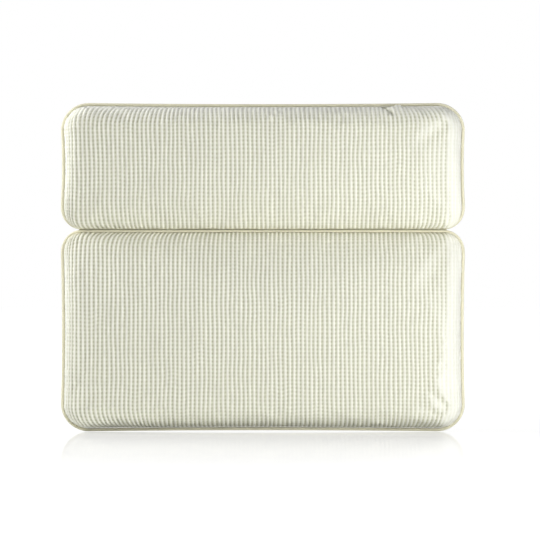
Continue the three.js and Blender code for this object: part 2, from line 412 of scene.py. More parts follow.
def grid_object(name: str, points: np.ndarray, closed: bool) -> bpy.types.Object:
    """Makes a mesh of quads from a grid of points.

    Args:
        name: name of the object.
        points: places, rows first.
        closed: whether a flat underside closes the form.

    Returns:
        The new object, with the grid's numbering as its UV map.
    """
    rows, columns = points.shape[:2]
    number = np.arange(rows * columns).reshape(rows, columns)
    corners = (number[:-1, :-1], number[:-1, 1:], number[1:, 1:], number[1:, :-1])
    faces = np.stack(corners, axis=-1).reshape(-1, 4).tolist()
    if closed:
        left = number[:, 0].tolist()
        right = number[:, -1].tolist()
        faces += [[right[j], left[j], left[j + 1], right[j + 1]] for j in range(rows - 1)]
        faces.append(number[-1].tolist())
        faces.append(number[0, ::-1].tolist())
    mesh = bpy.data.meshes.new(name)
    mesh.from_pydata(points.reshape(-1, 3).tolist(), [], faces)
    order = np.zeros(len(mesh.loops), np.int32)
    mesh.loops.foreach_get("vertex_index", order)
    layer = mesh.uv_layers.new(name="cloth")
    spots = np.stack((order % columns, order // columns), axis=-1)
    layer.data.foreach_set("uv", spots.ravel().astype(float))
    obj = bpy.data.objects.new(name, mesh)
    bpy.context.scene.collection.objects.link(obj)
    return obj


def add_values(obj: bpy.types.Object, name: str, values: np.ndarray) -> None:
    """Stores a value on each point of a piece, for its material to read.

    Args:
        obj: the piece.
        name: name of the values.
        values: one value for each point, in the order of the points.
    """
    layer = obj.data.attributes.new(name, "FLOAT", "POINT")
    layer.data.foreach_set("value", values.ravel())


# Finishes


@dataclass(frozen=True)
class WaffleKnit:
    """Waffle knit of bulky polyester yarn: matt, with soft bright ridges and warmer, darker pits, whose
    colour is partly the yarn's and partly painted shade of their depth.

    Along the fold the knit is painted a little yellower and darker, as painted shade in the fold.

    Attributes:
        ridge: colour of the ribs.
        slope: colour between a rib and a pit.
        pit: colour at the bottom of a pit, partly the yarn's and partly painted shade.
        warm: tint of the painted shade along the fold.
        roughness: roughness of the yarn.
        sheen: light that the loose fibres catch.
        cloud: size of the patches in which the dye varies.
        yarn: size of a loop of yarn.
        yarn_relief: height of a loop.
    """

    ridge: str = "#F3F3EC"
    slope: str = "#E4E4D6"
    pit: str = "#A6A588"
    warm: str = "#F5F0D8"
    roughness: float = 0.92
    sheen: float = 0.15
    cloud: float = 60.0 * MM
    yarn: float = 0.9 * MM
    yarn_relief: float = 0.12 * MM

    def material(self) -> bpy.types.Material:
        """Makes the finish. The eye sees ridges, shaded pits, and loops of yarn close by.

        Returns:
            The finish.
        """
        material, tree, shader = new_material("waffle_knit_polyester")
        # The ramp paints the pits darker, partly painted shade of their depth. Its values also carry
        # painted shade beside the piping and in creases, and painted light in opened pits.
        relief = add_node(tree, "ShaderNodeAttribute", {"attribute_name": "relief"})
        ramp = add_node(tree, "ShaderNodeValToRGB", {"Fac": relief.outputs["Fac"]})
        knit = set_ramp(ramp, [(0.0, self.pit), (0.95, self.ridge), (0.5, self.slope)])
        place = add_node(tree, "ShaderNodeTexCoord", {})
        # Dye takes unevenly over a hand's width, and yarn by yarn.
        shade = {"Vector": place.outputs["Object"], "Scale": 1.0 / self.cloud, "Detail": 3.0}
        cloud = add_node(tree, "ShaderNodeTexNoise", shade)
        uneven = add_node(tree, "ShaderNodeMapRange", {0: cloud.outputs["Fac"], 3: 0.965, 4: 1.035})
        multiply = {"data_type": "RGBA", "blend_type": "MULTIPLY"}
        tint = {**multiply, 0: 1.0, 6: knit, 7: uneven.outputs[0]}
        dyed = add_node(tree, "ShaderNodeMix", tint)
        # Painted shade along the fold: a yellower, darker tint that fades away from the fold's seam.
        warmth = add_node(tree, "ShaderNodeAttribute", {"attribute_name": "warmth"})
        fold_shaded = {**multiply, 0: warmth.outputs["Fac"], 6: dyed.outputs[2], 7: linear(self.warm)}
        colour = add_node(tree, "ShaderNodeMix", fold_shaded)
        # Loops of yarn, drawn about twice as coarse as they are so that they show.
        fibre = {"Vector": place.outputs["Object"], "Scale": 1.0 / self.yarn, "Detail": 2.0}
        loops = add_node(tree, "ShaderNodeTexNoise", fibre)
        bump = {"Height": loops.outputs["Fac"], "Strength": 0.6, "Distance": self.yarn_relief}
        feed(tree, shader, {
            "Base Color": colour.outputs[2],
            "Normal": add_node(tree, "ShaderNodeBump", bump).outputs[0],
            "Roughness": self.roughness,
            "Sheen Weight": self.sheen,
            "Sheen Roughness": 0.6,
            "Specular IOR Level": 0.2,
        })
        return material


@dataclass(frozen=True)
class WovenCloth:
    """Woven polyester or cotton: two sets of threads that cross, matt, with a faint grid close by.

    Attributes:
        name: name of the finish.
        colour: colour of the threads.
        hollow: colour between the threads.
        thread: spacing of the threads.
        turn: angle of the threads to the piece.
        relief: height of a thread.
        roughness: roughness of the threads.
        cloud: size of the patches in which the dye varies.
    """

    name: str
    colour: str
    hollow: str
    thread: float
    turn: float = 0.0
    relief: float = 0.15 * MM
    roughness: float = 0.85
    cloud: float = 45.0 * MM

    def material(self) -> bpy.types.Material:
        """Makes the finish from two crossed waves, at the thread's real spacing or a little coarser.

        Returns:
            The finish.
        """
        material, tree, shader = new_material(self.name)
        place = add_node(tree, "ShaderNodeTexCoord", {})
        turned = {"Vector": place.outputs["Object"], "Rotation": (0.0, self.turn, 0.0)}
        cloth = add_node(tree, "ShaderNodeMapping", turned)
        # A wave texture draws a thread every pi / 10 units at a scale of one.
        lines = {"Vector": cloth.outputs[0], "Scale": math.pi / 10.0 / self.thread, "Distortion": 0.6}
        waves = []
        for direction in ("X", "Z"):
            wave = add_node(tree, "ShaderNodeTexWave", {**lines, "bands_direction": direction})
            waves.append(wave.outputs["Fac"])
        cross = add_node(tree, "ShaderNodeMath", {"operation": "MULTIPLY", 0: waves[0], 1: waves[1]})
        ramp = add_node(tree, "ShaderNodeValToRGB", {"Fac": cross.outputs[0]})
        weave = set_ramp(ramp, [(0.0, self.hollow), (0.6, self.colour)])
        shade = {"Vector": place.outputs["Object"], "Scale": 1.0 / self.cloud, "Detail": 3.0}
        cloud = add_node(tree, "ShaderNodeTexNoise", shade)
        uneven = add_node(tree, "ShaderNodeMapRange", {0: cloud.outputs["Fac"], 3: 0.95, 4: 1.05})
        tint = {"data_type": "RGBA", "blend_type": "MULTIPLY", 0: 1.0, 6: weave, 7: uneven.outputs[0]}
        bump = {"Height": cross.outputs[0], "Strength": 0.5, "Distance": self.relief}
        feed(tree, shader, {
            "Base Color": add_node(tree, "ShaderNodeMix", tint).outputs[2],
            "Normal": add_node(tree, "ShaderNodeBump", bump).outputs[0],
            "Roughness": self.roughness,
            "Sheen Weight": 0.1,
            "Specular IOR Level": 0.25,
        })
        return material


@dataclass(frozen=True)
class ClearVinyl:
    """Soft clear vinyl, moulded: see-through but milky, with a wet gloss and faint flow marks.

    Attributes:
        colour: tint of the vinyl.
        roughness: middle roughness of its skin.
        transmission: share of the light that goes through.
        ior: index of refraction.
        flow: size of a flow mark.
        flow_relief: height of a flow mark.
    """

    colour: str = "#E9EFEC"
    roughness: float = 0.22
    transmission: float = 0.75
    ior: float = 1.53
    flow: float = 9.0 * MM
    flow_relief: float = 0.2 * MM

    def material(self) -> bpy.types.Material:
        """Makes the finish. The eye sees gloss, and a shade through the walls.

        Returns:
            The finish.
        """
        material, tree, shader = new_material("clear_vinyl")
        place = add_node(tree, "ShaderNodeTexCoord", {})
        flow = {"Vector": place.outputs["Object"], "Scale": 1.0 / self.flow, "Detail": 2.0}
        marks = add_node(tree, "ShaderNodeTexNoise", flow)
        gloss = {0: marks.outputs["Fac"], 3: self.roughness - 0.06, 4: self.roughness + 0.08}
        bump = {"Height": marks.outputs["Fac"], "Strength": 0.15, "Distance": self.flow_relief}
        feed(tree, shader, {
            "Base Color": linear(self.colour),
            "Normal": add_node(tree, "ShaderNodeBump", bump).outputs[0],
            "Roughness": add_node(tree, "ShaderNodeMapRange", gloss).outputs[0],
            "Transmission Weight": self.transmission,
            "IOR": self.ior,
        })
        return material


@dataclass(frozen=True)
class GrommetPlastic:
    """Injection-moulded polypropylene: off-white, half gloss, with a fine spark-eroded grain.

    Attributes:
        colour: colour of the plastic.
        shade: colour in the grain.
        roughness: roughness of the skin.
        ior: index of refraction.
        grain: size of the grain.
        grain_relief: depth of the grain.
    """

    colour: str = "#EFEDE4"
    shade: str = "#E4E1D6"
    roughness: float = 0.38
    ior: float = 1.49
    grain: float = 0.5 * MM
    grain_relief: float = 0.05 * MM

    def material(self) -> bpy.types.Material:
        """Makes the finish. The eye sees a soft gloss, broken by the grain.

        Returns:
            The finish.
        """
        material, tree, shader = new_material("moulded_polypropylene")
        place = add_node(tree, "ShaderNodeTexCoord", {})
        pits = {"Vector": place.outputs["Object"], "Scale": 1.0 / self.grain, "Detail": 2.0}
        grain = add_node(tree, "ShaderNodeTexNoise", pits)
        ramp = add_node(tree, "ShaderNodeValToRGB", {"Fac": grain.outputs["Fac"]})
        bump = {"Height": grain.outputs["Fac"], "Strength": 0.2, "Distance": self.grain_relief}
        feed(tree, shader, {
            "Base Color": set_ramp(ramp, [(0.3, self.shade), (0.6, self.colour)]),
            "Normal": add_node(tree, "ShaderNodeBump", bump).outputs[0],
            "Roughness": self.roughness,
            "IOR": self.ior,
        })
        return material


@dataclass(frozen=True)
class Finishes:
    """The pillow's materials, each made once.

    Attributes:
        knit: finish of the padded covers.
        binding: finish of the piping.
        backing: finish of the back cloths.
        tape: finish of the fold's tape.
        thread: finish of the tape's stitches.
        vinyl: finish of the suction cups.
        grommet: finish of the grommets and their washers.
    """

    knit: bpy.types.Material
    binding: bpy.types.Material
    backing: bpy.types.Material
    tape: bpy.types.Material
    thread: bpy.types.Material
    vinyl: bpy.types.Material
    grommet: bpy.types.Material

    @classmethod
    def make(cls) -> "Finishes":
        """Makes every material of the pillow.

        Returns:
            The materials.
        """
        bias = math.radians(45.0)
        twist = math.radians(30.0)
        return cls(
            knit=WaffleKnit().material(),
            binding=WovenCloth("binding_twill", "#EAE7D0", "#D9D5BA", 1.0 * MM, bias).material(),
            backing=WovenCloth("backing_plain_weave", "#E6E3D5", "#CFCBB8", 1.1 * MM).material(),
            tape=WovenCloth("woven_cotton_tape", "#DDD9C4", "#BDB797", 0.9 * MM, bias).material(),
            thread=WovenCloth("sewing_thread", "#E9E6D6", "#CAC5A9", 0.4 * MM, twist).material(),
            vinyl=ClearVinyl().material(),
            grommet=GrommetPlastic().material(),
        )


# Form of the panels


@dataclass(frozen=True)
class Edge:
    """Rounded edge of a panel's face, by the length of cloth from the seam.

    Attributes:
        inset: distance from the panel's outline to the seam.
        width: distance from the seam to where the face is flat.
        rise: height of the flat over the seam.
        lap: how far the wall laps outwards over the seam.
        lap_rise: height of the lap over the seam.
        tuck: how much further in the seam itself lies.
    """

    inset: float
    width: float
    rise: float
    lap: float = 0.0
    lap_rise: float = 0.0
    tuck: float = 0.0

    def curve(self) -> tuple[np.ndarray, np.ndarray, np.ndarray]:
        """Follows the edge from the seam to the flat.

        Returns:
            The way from the seam, with the inset and the height at each point of it.
        """
        turn = np.linspace(0.0, QUARTER_TURN, CURVE_STEPS)
        inset = self.inset + self.width - (self.width + self.lap) * np.cos(turn)
        height = self.lap_rise + (self.rise - self.lap_rise) * np.sin(turn)
        inset = np.concatenate(([self.inset + self.tuck], inset))
        height = np.concatenate(([0.0], height))
        steps = np.hypot(np.diff(inset), np.diff(height))
        return np.concatenate(([0.0], np.cumsum(steps))), inset, height

    @property
    def over(self) -> float:
        """How much more cloth the rounding takes than its reach from the outline."""
        return float(self.curve()[0][-1]) - self.inset - self.width

    def at(self, cloth: np.ndarray) -> tuple[np.ndarray, np.ndarray]:
        """Finds where the cloth lies.

        Args:
            cloth: lengths of cloth from the seam.

        Returns:
            The inset and the height at each length.
        """
        way, inset, height = self.curve()
        flat = np.maximum(cloth - way[-1], 0.0)
        return np.interp(cloth, way, inset) + flat, np.interp(cloth, way, height)


@dataclass(frozen=True)
class Lean:
    """How far the ribs lean to the middle of the panel on a wall, by distance from the middle.

    Attributes:
        amount: the most that a rib leans, at the seam.
        start: where the lean starts.
        full: where it is full.
    """

    amount: float
    start: float
    full: float


@dataclass
class FaceForm:
    """Form of one face of a panel, which places flat cloth on it.

    Attributes:
        panel: the panel.
        face: which of its faces.
        half_width: half the panel's width, out to the piping's edge.
        low: lowest Z of the panel.
        high: highest Z of the panel.
        seam: Y of the sewn edge.
        free: edge on the three free sides.
        fold: edge along the fold.
        crown: how far the middle stands out from the edge of the flat.
        corner: radius of the free corners.
        fold_corner: radius of the corners at the fold.
        draw: how far a free side pulls in half way between its corners.
        dip: how much lower the face is along the fold.
        dip_reach: how far from the fold's rounded edge it dips.
        leans: lean of the ribs on each part of the end walls.
    """

    panel: Panel
    face: Face
    half_width: float
    low: float
    high: float
    seam: float
    free: Edge
    fold: Edge
    crown: float
    corner: float
    fold_corner: float
    draw: float
    dip: float
    dip_reach: float
    leans: dict[WallPart, Lean]

    @property
    def middle(self) -> float:
        """Z of the panel's middle."""
        return 0.5 * (self.low + self.high)

    @property
    def half_height(self) -> float:
        """Half the panel's height."""
        return 0.5 * (self.high - self.low)

    @property
    def half_cloth(self) -> float:
        """Half the width of the flat cloth."""
        return self.half_width + self.free.over

    @property
    def cloth_span(self) -> tuple[float, float]:
        """Lowest and highest place on the flat cloth, from the panel's middle."""
        overs = (self.fold.over, self.free.over)
        below, above = overs if self.panel is Panel.UPPER else overs[::-1]
        return -self.half_height - below, self.half_height + above

    def leaning(self, across: np.ndarray, wall: np.ndarray, to_fold: np.ndarray) -> np.ndarray:
        """Moves places on the cloth to the middle where the ribs lean.

        Args:
            across: places across the cloth.
            wall: share of the way down the wall, 0 on the flat of the face.
            to_fold: whether a place is on the fold's side.

        Returns:
            The places after the lean.
        """
        far = np.abs(across)
        moved = across.copy()
        for part, lean in self.leans.items():
            side = (to_fold == part.at_fold) & ((across < 0.0) == part.left)
            rise = smooth_step(lean.start, lean.full, far)
            fade = 1.0 - smooth_step(lean.full, self.half_cloth, far)
            slide = lean.amount * rise * fade * smooth_step(0.1, 1.0, wall)
            moved = np.where(side, across - np.sign(across) * slide, moved)
        return moved

    def place(self, across: np.ndarray, along: np.ndarray) -> np.ndarray:
        """Lays flat cloth on the form.

        Args:
            across: places across the cloth, from the panel's middle.
            along: places up the cloth, from the panel's middle.

        Returns:
            Places in the row frame, with a last axis of x, y and z.
        """
        out = along * self.panel.value
        to_fold = out < 0.0
        # The corner's radius changes evenly from the free end to the fold.
        near = smooth_step(-0.5, 0.5, -out / self.half_height)
        corner = self.corner + (self.fold_corner - self.corner) * near
        core_x = self.half_width - corner
        core_z = self.half_height - corner
        side_run = corner + self.free.over
        end_run = corner + np.where(to_fold, self.fold.over, self.free.over)
        up = np.clip((np.abs(along) - core_z) / end_run, 0.0, 1.0)
        across = self.leaning(across, up, to_fold)
        side = np.clip((np.abs(across) - core_x) / side_run, 0.0, 1.0)
        # A square of cloth at each corner is eased on to a quarter of a disc.
        out_x = np.sign(across) * side * np.sqrt(1.0 - 0.5 * up * up)
        out_z = np.sign(along) * up * np.sqrt(1.0 - 0.5 * side * side)
        share = np.minimum(np.hypot(out_x, out_z), 1.0)
        safe = np.maximum(share, TINY)
        fold_part = np.where(to_fold, (out_z / safe) ** 2, 0.0)
        free_inset, free_height = self.free.at((1.0 - share) * side_run)
        fold_inset, fold_height = self.fold.at((1.0 - share) * (corner + self.fold.over))
        reach = corner - free_inset - fold_part * (fold_inset - free_inset)
        height = free_height + fold_part * (fold_height - free_height)
        x = np.clip(across, -core_x, core_x) + reach * out_x / safe
        z = np.clip(along, -core_z, core_z) + reach * out_z / safe
        from_edge = z * self.panel.value + self.half_height - self.fold.inset - self.fold.width
        near_fold = 1.0 - np.clip(from_edge / self.dip_reach, 0.0, 1.0)
        raised = np.maximum(height - self.fold.lap_rise, 0.0) / (self.fold.rise - self.fold.lap_rise)
        height -= self.dip * raised * near_fold**2
        height += self.crown * (1.0 - (x / self.half_width) ** 2) * (1.0 - (z / self.half_height) ** 2)
        return self.drawn(x, self.seam + self.face.value * height, z + self.middle)

    def drawn(self, x: np.ndarray, y: np.ndarray, z: np.ndarray) -> np.ndarray:
        """Pulls the free sides in between their corners.

        Args:
            x: places across.
            y: depths.
            z: heights.

        Returns:
            Places with a last axis of x, y and z.
        """
        up = (z - self.middle) * self.panel.value
        away = np.clip(0.5 + 0.5 * up / self.half_height, 0.0, 1.0)
        bow_z = 1.0 - np.clip((z - self.middle) / (self.half_height - self.corner), -1.0, 1.0) ** 2
        bow_x = 1.0 - np.clip(x / (self.half_width - self.corner), -1.0, 1.0) ** 2
        drawn_x = x * (1.0 - self.draw * bow_z / self.half_width)
        drawn_z = z - self.panel.value * self.draw * bow_x * away
        return np.stack((drawn_x, y, drawn_z), axis=-1)


# Padded covers


@dataclass(frozen=True)
class WaffleStitch:
    """Relief of the waffle knit: upright ribs with a row of pits in each groove.

    Attributes:
        rib: spacing of the ribs.
        row: spacing of the pits up a groove.
        relief: height from a pit to a rib.
        bridge: height of the bar between two pits, as a share of the relief.
        dip: how far a rib dips beside a pit, as a share of the relief.
        skew: how far a rib's crest stands to the right, as a share of the spacing.
        wander: how far a rib wanders, as a share of the spacing.
        shift: how far a pit is shifted, as a share of the spacing.
        proud: how unevenly the loops stand out, as a share of the relief.
        level: share of the relief that lies below the cover's form.
    """

    rib: float = 4.1 * MM
    row: float = 3.7 * MM
    relief: float = 1.7 * MM
    bridge: float = 0.36
    dip: float = 0.2
    skew: float = 0.16
    wander: float = 0.06
    shift: float = 0.1
    proud: float = 0.15
    level: float = 0.6

    def height(self, ribs: np.ndarray, rows: np.ndarray) -> np.ndarray:
        """Works out the relief.

        Args:
            ribs: rib numbers across the cloth.
            rows: row numbers up it.

        Returns:
            The height of the knit, from 0 in a pit to 1 on a rib.
        """
        rib = np.sin(math.pi * (ribs - self.skew * np.sin(math.pi * ribs) ** 2)) ** 2
        open_part = np.sin(math.pi * rows) ** 2
        ridge = rib**0.75 * (1.0 - self.dip * open_part)
        bar = self.bridge * (1.0 - open_part)
        # The higher of rib and bar, with a soft join where they meet.
        return 0.5 * (ridge + bar + np.sqrt((ridge - bar) ** 2 + 0.01)) - 0.05 * (1.0 - ridge)


@dataclass(frozen=True)
class Pucker:
    """Gather in a free seam: a crease that runs aslant down the wall, with a lump of cloth beside it.

    Attributes:
        place: place of the gather across the panel.
        slant: how far the crease runs to the left on its way down the wall.
        crease_width: width of the crease.
        crease_depth: depth of the crease.
        lump_aside: how far right of the gather the lump stands.
        lump_width: width of the lump.
        lump_height: height of the lump.
        lump_down: how far down the wall the lump stands, as a share.
        lump_spread: how far it spreads down the wall, as a share.
    """

    place: float = 126.0 * MM
    slant: float = 14.0 * MM
    crease_width: float = 2.6 * MM
    crease_depth: float = 2.3 * MM
    lump_aside: float = 0.5 * MM
    lump_width: float = 5.5 * MM
    lump_height: float = 2.0 * MM
    lump_down: float = 0.78
    lump_spread: float = 0.15

    def gather(self, points: np.ndarray, wall: np.ndarray) -> tuple[np.ndarray, np.ndarray]:
        """Draws in the free wall.

        Args:
            points: places on the cover.
            wall: share of the way down the free wall.

        Returns:
            The places after the gather, and how deep in the crease each lies, from 0 to 1.
        """
        x = points[..., 0] - self.place
        off = (x + self.slant * wall) / self.crease_width
        ends = smooth_step(0.3, 0.5, wall) * (1.0 - smooth_step(0.97, 1.0, wall))
        crease = np.exp(-off * off) * ends
        aside = (x - self.lump_aside) / self.lump_width
        lump = np.exp(-aside * aside - ((wall - self.lump_down) / self.lump_spread) ** 2)
        height = self.lump_height * lump - self.crease_depth * crease
        return points + surface_normals(points) * height[..., None], crease


@dataclass
class Cushion:
    """Padded front of one panel, in waffle knit over foam.

    Attributes:
        form: form of the padded face.
        stitch: relief of the knit.
        pucker: gather in the free seam, or None.
        seam_light: share of the light that gets down beside the piping.
        crease_shade: share of the light that the crease of a gather keeps out.
        wall_open: how far the pits on the free wall are made shallower, where the cloth is stretched, and
            painted lighter, as painted light from above, from 0 to 1.
        side_open: how far the pits on the right side are made shallower and painted lighter, as painted
            light from the right.
        side_start: how far right of the middle the right side starts.
        side_full: how far right of the middle it is full.
        rib_samples: mesh columns in a rib.
        row_samples: mesh rows in a row of pits.
        relief_rows: rows or ribs from the seam to where the relief is full.
        light_rows: rows or ribs from the seam to where the light is full.
        room: how much lower the cover's crown is before it is filled.
        swell_cap: the most that a point may move when the cover is filled.
        side_swell: share of the swelling to the sides that the piping lets through.
        frames: steps of the cloth simulation.
        held_rows: rows of pits along the fold that are sewn down.
        warm_reach: how far from the fold's seam the painted shade reaches.
    """

    form: FaceForm
    stitch: WaffleStitch
    pucker: Pucker | None
    seam_light: float
    wall_open: float
    crease_shade: float = 0.5
    side_open: float = 0.5
    side_start: float = 100.0 * MM
    side_full: float = 150.0 * MM
    rib_samples: int = 5
    row_samples: int = 4
    relief_rows: float = 1.8
    light_rows: float = 2.0
    room: float = 2.0 * MM
    swell_cap: float = 2.4 * MM
    side_swell: float = 0.2
    frames: int = 16
    held_rows: int = 3
    warm_reach: float = 12.0 * MM

    def counts(self) -> tuple[int, int]:
        """Ribs across the cloth and rows of pits up it."""
        low, high = self.form.cloth_span
        return round(2.0 * self.form.half_cloth / self.stitch.rib), round((high - low) / self.stitch.row)

    def lattice(self, rows: int, columns: int) -> tuple[np.ndarray, np.ndarray]:
        """Spreads even places over the flat cloth.

        Args:
            rows: places up the cloth.
            columns: places across the cloth.

        Returns:
            Places across and places up, as grids with rows first.
        """
        across = np.linspace(-self.form.half_cloth, self.form.half_cloth, columns)
        along = np.linspace(*self.form.cloth_span, rows)
        grids = np.meshgrid(across, along)
        return grids[0], grids[1]

    def sewn(self, rows: int, columns: int) -> list[int]:
        """Lists the points of a grid that are sewn down, at the seam and along the fold.

        Args:
            rows: rows of the grid.
            columns: columns of the grid.

        Returns:
            The points' numbers.
        """
        edge = np.zeros((rows, columns), bool)
        edge[[0, -1], :] = True
        edge[:, [0, -1]] = True
        upper = self.form.panel is Panel.UPPER
        edge[slice(0, self.held_rows) if upper else slice(-self.held_rows, None), :] = True
        return np.flatnonzero(edge).tolist()

    def inflate(self) -> np.ndarray:
        """Fills the cover by cloth simulation, with its seam held.

        Returns:
            How far each point of a grid with one point per rib and row ends from the form.
        """
        ribs, rows = self.counts()
        spots = self.lattice(rows + 1, ribs + 1)
        form = self.form.place(*spots)
        start = replace(self.form, crown=self.form.crown - self.room).place(*spots)
        obj = grid_object("filling", start, closed=False)
        seam = obj.vertex_groups.new(name="seam")
        seam.add(self.sewn(rows + 1, ribs + 1), 1.0, "REPLACE")
        select_only(obj)
        cloth = obj.modifiers.new("Cloth", "CLOTH")
        for key, value in FILLING.items():
            setattr(cloth.settings, key, value)
        cloth.settings.effector_weights.gravity = 0.0
        cloth.collision_settings.use_collision = False
        scene = bpy.context.scene
        for frame in range(1, self.frames + 1):
            scene.frame_set(frame)
        bpy.ops.object.modifier_apply(modifier=cloth.name)
        scene.frame_set(1)
        filled = np.zeros(start.size)
        obj.data.vertices.foreach_get("co", filled)
        remove(obj)
        move = filled.reshape(start.shape) - start
        far = np.linalg.norm(move, axis=2, keepdims=True)
        LOG.info("filled: mean move %.2f mm, most %.2f mm", far.mean() / MM, far.max() / MM)
        move *= np.minimum(1.0, self.swell_cap / np.maximum(far, TINY))
        move[..., [0, 2]] *= self.side_swell
        return start + move - form

    def opened(self, points: np.ndarray, wall: np.ndarray) -> np.ndarray:
        """Works out how far the pits are made shallower and painted lighter: on the free wall, where the
        cloth is stretched round the edge, as painted light from above, and on the right side, as painted
        light from the right.

        Args:
            points: places on the cover.
            wall: share of the way down the free wall.

        Returns:
            How far each place is made shallower and painted lighter, from 0 to 1.
        """
        right = smooth_step(self.side_start, self.side_full, points[..., 0])
        turned = surface_normals(points)[..., 0] * right
        at_side = self.side_open * smooth_step(0.0, 0.3, turned)
        return np.maximum(self.wall_open * smooth_step(0.2, 0.7, wall), at_side)

    def build(self, material: bpy.types.Material) -> bpy.types.Object:
        """Makes the padded cover with its knit.

        Args:
            material: the knit's finish.

        Returns:
            The cover, which stands for the panel's front cover and its foam.
        """
        panel = self.form.panel
        stitch = self.stitch
        rng = np.random.default_rng(SEED + panel.value)
        ribs, rows = self.counts()
        shape = (rows * self.row_samples + 1, ribs * self.rib_samples + 1)
        across, along = self.lattice(*shape)
        points = self.form.place(across, along) + resample(self.inflate(), *shape)
        wall = along * panel.value - self.form.half_height + self.form.corner
        wall = np.clip(wall / (self.form.corner + self.form.free.over), 0.0, 1.0)
        crease = np.zeros(shape)
        if self.pucker is not None:
            points, crease = self.pucker.gather(points, wall)
        columns = np.linspace(0.0, ribs, shape[1])[None, :]
        heights = np.linspace(0.0, rows, shape[0])[:, None]
        # Yarn is never quite even: ribs wander, pits shift, and loops stand more or less proud.
        wander = resample(rng.normal(0.0, stitch.wander, (rows // 5, ribs // 3)), *shape)
        shift = resample(rng.normal(0.0, stitch.shift, (rows // 4, ribs // 2)), *shape)
        proud = 1.0 + resample(rng.normal(0.0, stitch.proud, (rows, ribs)), *shape)
        knit = stitch.height(columns + wander, heights + shift)
        # Pits are made shallower and painted lighter on the upper panel's free wall and on the right side:
        # painted light from above and from the right.
        knit = 1.0 - (1.0 - knit) * (1.0 - self.opened(points, wall))
        edge = np.minimum(np.minimum(columns, ribs - columns), np.minimum(heights, rows - heights))
        fade = smooth_step(0.0, self.relief_rows, edge)
        stand = stitch.relief * (knit * proud - stitch.level) * fade
        points += surface_normals(points) * stand[..., None]
        obj = grid_object(f"{panel.label}_padded_cover", points, closed=True)
        # Little light gets down beside the piping or into the crease.
        lit = self.seam_light + (1.0 - self.seam_light) * smooth_step(0.0, self.light_rows, edge)
        lit *= 1.0 - self.crease_shade * crease
        add_values(obj, "relief", np.clip(knit * lit, 0.0, 1.0))
        # Painted shade along the fold, fading with distance from its seam.
        from_fold = along - along.min() if panel is Panel.UPPER else along.max() - along
        add_values(obj, "warmth", np.exp(-from_fold / self.warm_reach))
        dress(obj, f"{panel.label}_padded_cover", material)
        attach(obj, panel.body)
        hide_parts(f"{panel.label}_front_cover", f"{panel.label}_foam_core")
        return obj


# Back cloth


@dataclass
class BackCloth:
    """Plain cloth over the back of one panel, drawn tight round the grommets.

    Attributes:
        form: form of the back.
        step: spacing of the mesh.
        thickness: thickness of the cloth.
        hole: radius of the hole for a grommet's barrel.
        flange: radius of a grommet's flange, under which the cloth is flat.
        clear: radius from which the folds round a grommet are full.
        calm: radius from which the cloth is as slack as elsewhere.
        pull: depth of the folds that run to a grommet.
        pull_reach: how far those folds reach.
        slack: how unevenly the cloth lies.
        slack_cap: the most that it stands out.
        held_steps: steps of the mesh from the seam to where it is slack.
    """

    form: FaceForm
    step: float = 3.0 * MM
    thickness: float = 1.2 * MM
    hole: float = 7.6 * MM
    flange: float = 12.0 * MM
    clear: float = 18.0 * MM
    calm: float = 26.0 * MM
    pull: float = 0.5 * MM
    pull_reach: float = 14.0 * MM
    slack: float = 0.35 * MM
    slack_cap: float = 0.3 * MM
    held_steps: float = 6.0

    def folds(self, points: np.ndarray, centres: list[Vector]) -> np.ndarray:
        """Works out the small folds over the cloth and round each grommet.

        Args:
            points: places on the cloth.
            centres: the grommets' centres.

        Returns:
            How far each place stands out.
        """
        rng = np.random.default_rng(SEED + 20 + self.form.panel.value)
        height = resample(rng.normal(0.0, self.slack, (14, 26)), *points.shape[:2])
        for centre in centres:
            dx = points[..., 0] - centre.x
            dz = points[..., 2] - centre.z
            far = np.hypot(dx, dz)
            spread = np.exp(-((far - self.flange) / self.pull_reach) ** 2)
            clear = smooth_step(self.flange, self.clear, far)
            turn = np.arctan2(dz, dx)
            # Nine broad folds run out from a grommet, with fourteen lower ones between them.
            rays = np.cos(9.0 * turn + 3.0 * rng.random())
            rays += 0.6 * np.cos(14.0 * turn + 6.0 * rng.random())
            height = height * smooth_step(self.flange, self.calm, far) + self.pull * spread * clear * rays
        return np.minimum(height, self.slack_cap)

    def held(self, count: int) -> np.ndarray:
        """Rise from 0 at both ends of a row of points to 1 inside."""
        edge = smooth_step(0.0, self.held_steps, np.arange(count, dtype=float))
        return np.minimum(edge, edge[::-1])

    def build(self, material: bpy.types.Material) -> bpy.types.Object:
        """Makes the cloth.

        Args:
            material: the cloth's finish.

        Returns:
            The cloth, which stands for the panel's back.
        """
        panel = self.form.panel
        centres = [cup_centre(cup) for cup in panel.cups]
        half = self.form.half_cloth
        low, high = self.form.cloth_span
        # The cloth runs from right to left, so that its faces look backwards.
        across = np.linspace(half, -half, round(2.0 * half / self.step))
        along = np.linspace(low, high, round((high - low) / self.step))
        points = self.form.place(*np.meshgrid(across, along))
        height = self.folds(points, centres)
        height *= self.held(len(across))[None, :] * self.held(len(along))[:, None]
        points += surface_normals(points) * height[..., None]
        obj = grid_object(f"{panel.label}_back_cloth", points, closed=False)
        self.cut_holes(obj, centres)
        apply_modifier(obj, "SOLIDIFY", thickness=self.thickness, offset=-1.0)
        dress(obj, f"{panel.label}_back_cloth", material)
        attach(obj, panel.body)
        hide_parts(f"{panel.label}_back_panel")
        return obj

    def cut_holes(self, obj: bpy.types.Object, centres: list[Vector]) -> None:
        """Cuts the holes for the grommets.

        Args:
            obj: the cloth.
            centres: the grommets' centres.
        """
        for centre in centres:
            select_only()
            bpy.ops.mesh.primitive_cylinder_add(
                vertices=32, radius=self.hole, depth=40.0 * MM,
                location=(centre.x, self.form.seam, centre.z), rotation=(QUARTER_TURN, 0.0, 0.0),
            )
            cutter = bpy.context.object
            apply_modifier(obj, "BOOLEAN", operation="DIFFERENCE", object=cutter, solver="EXACT")
            remove(cutter)


# Piping


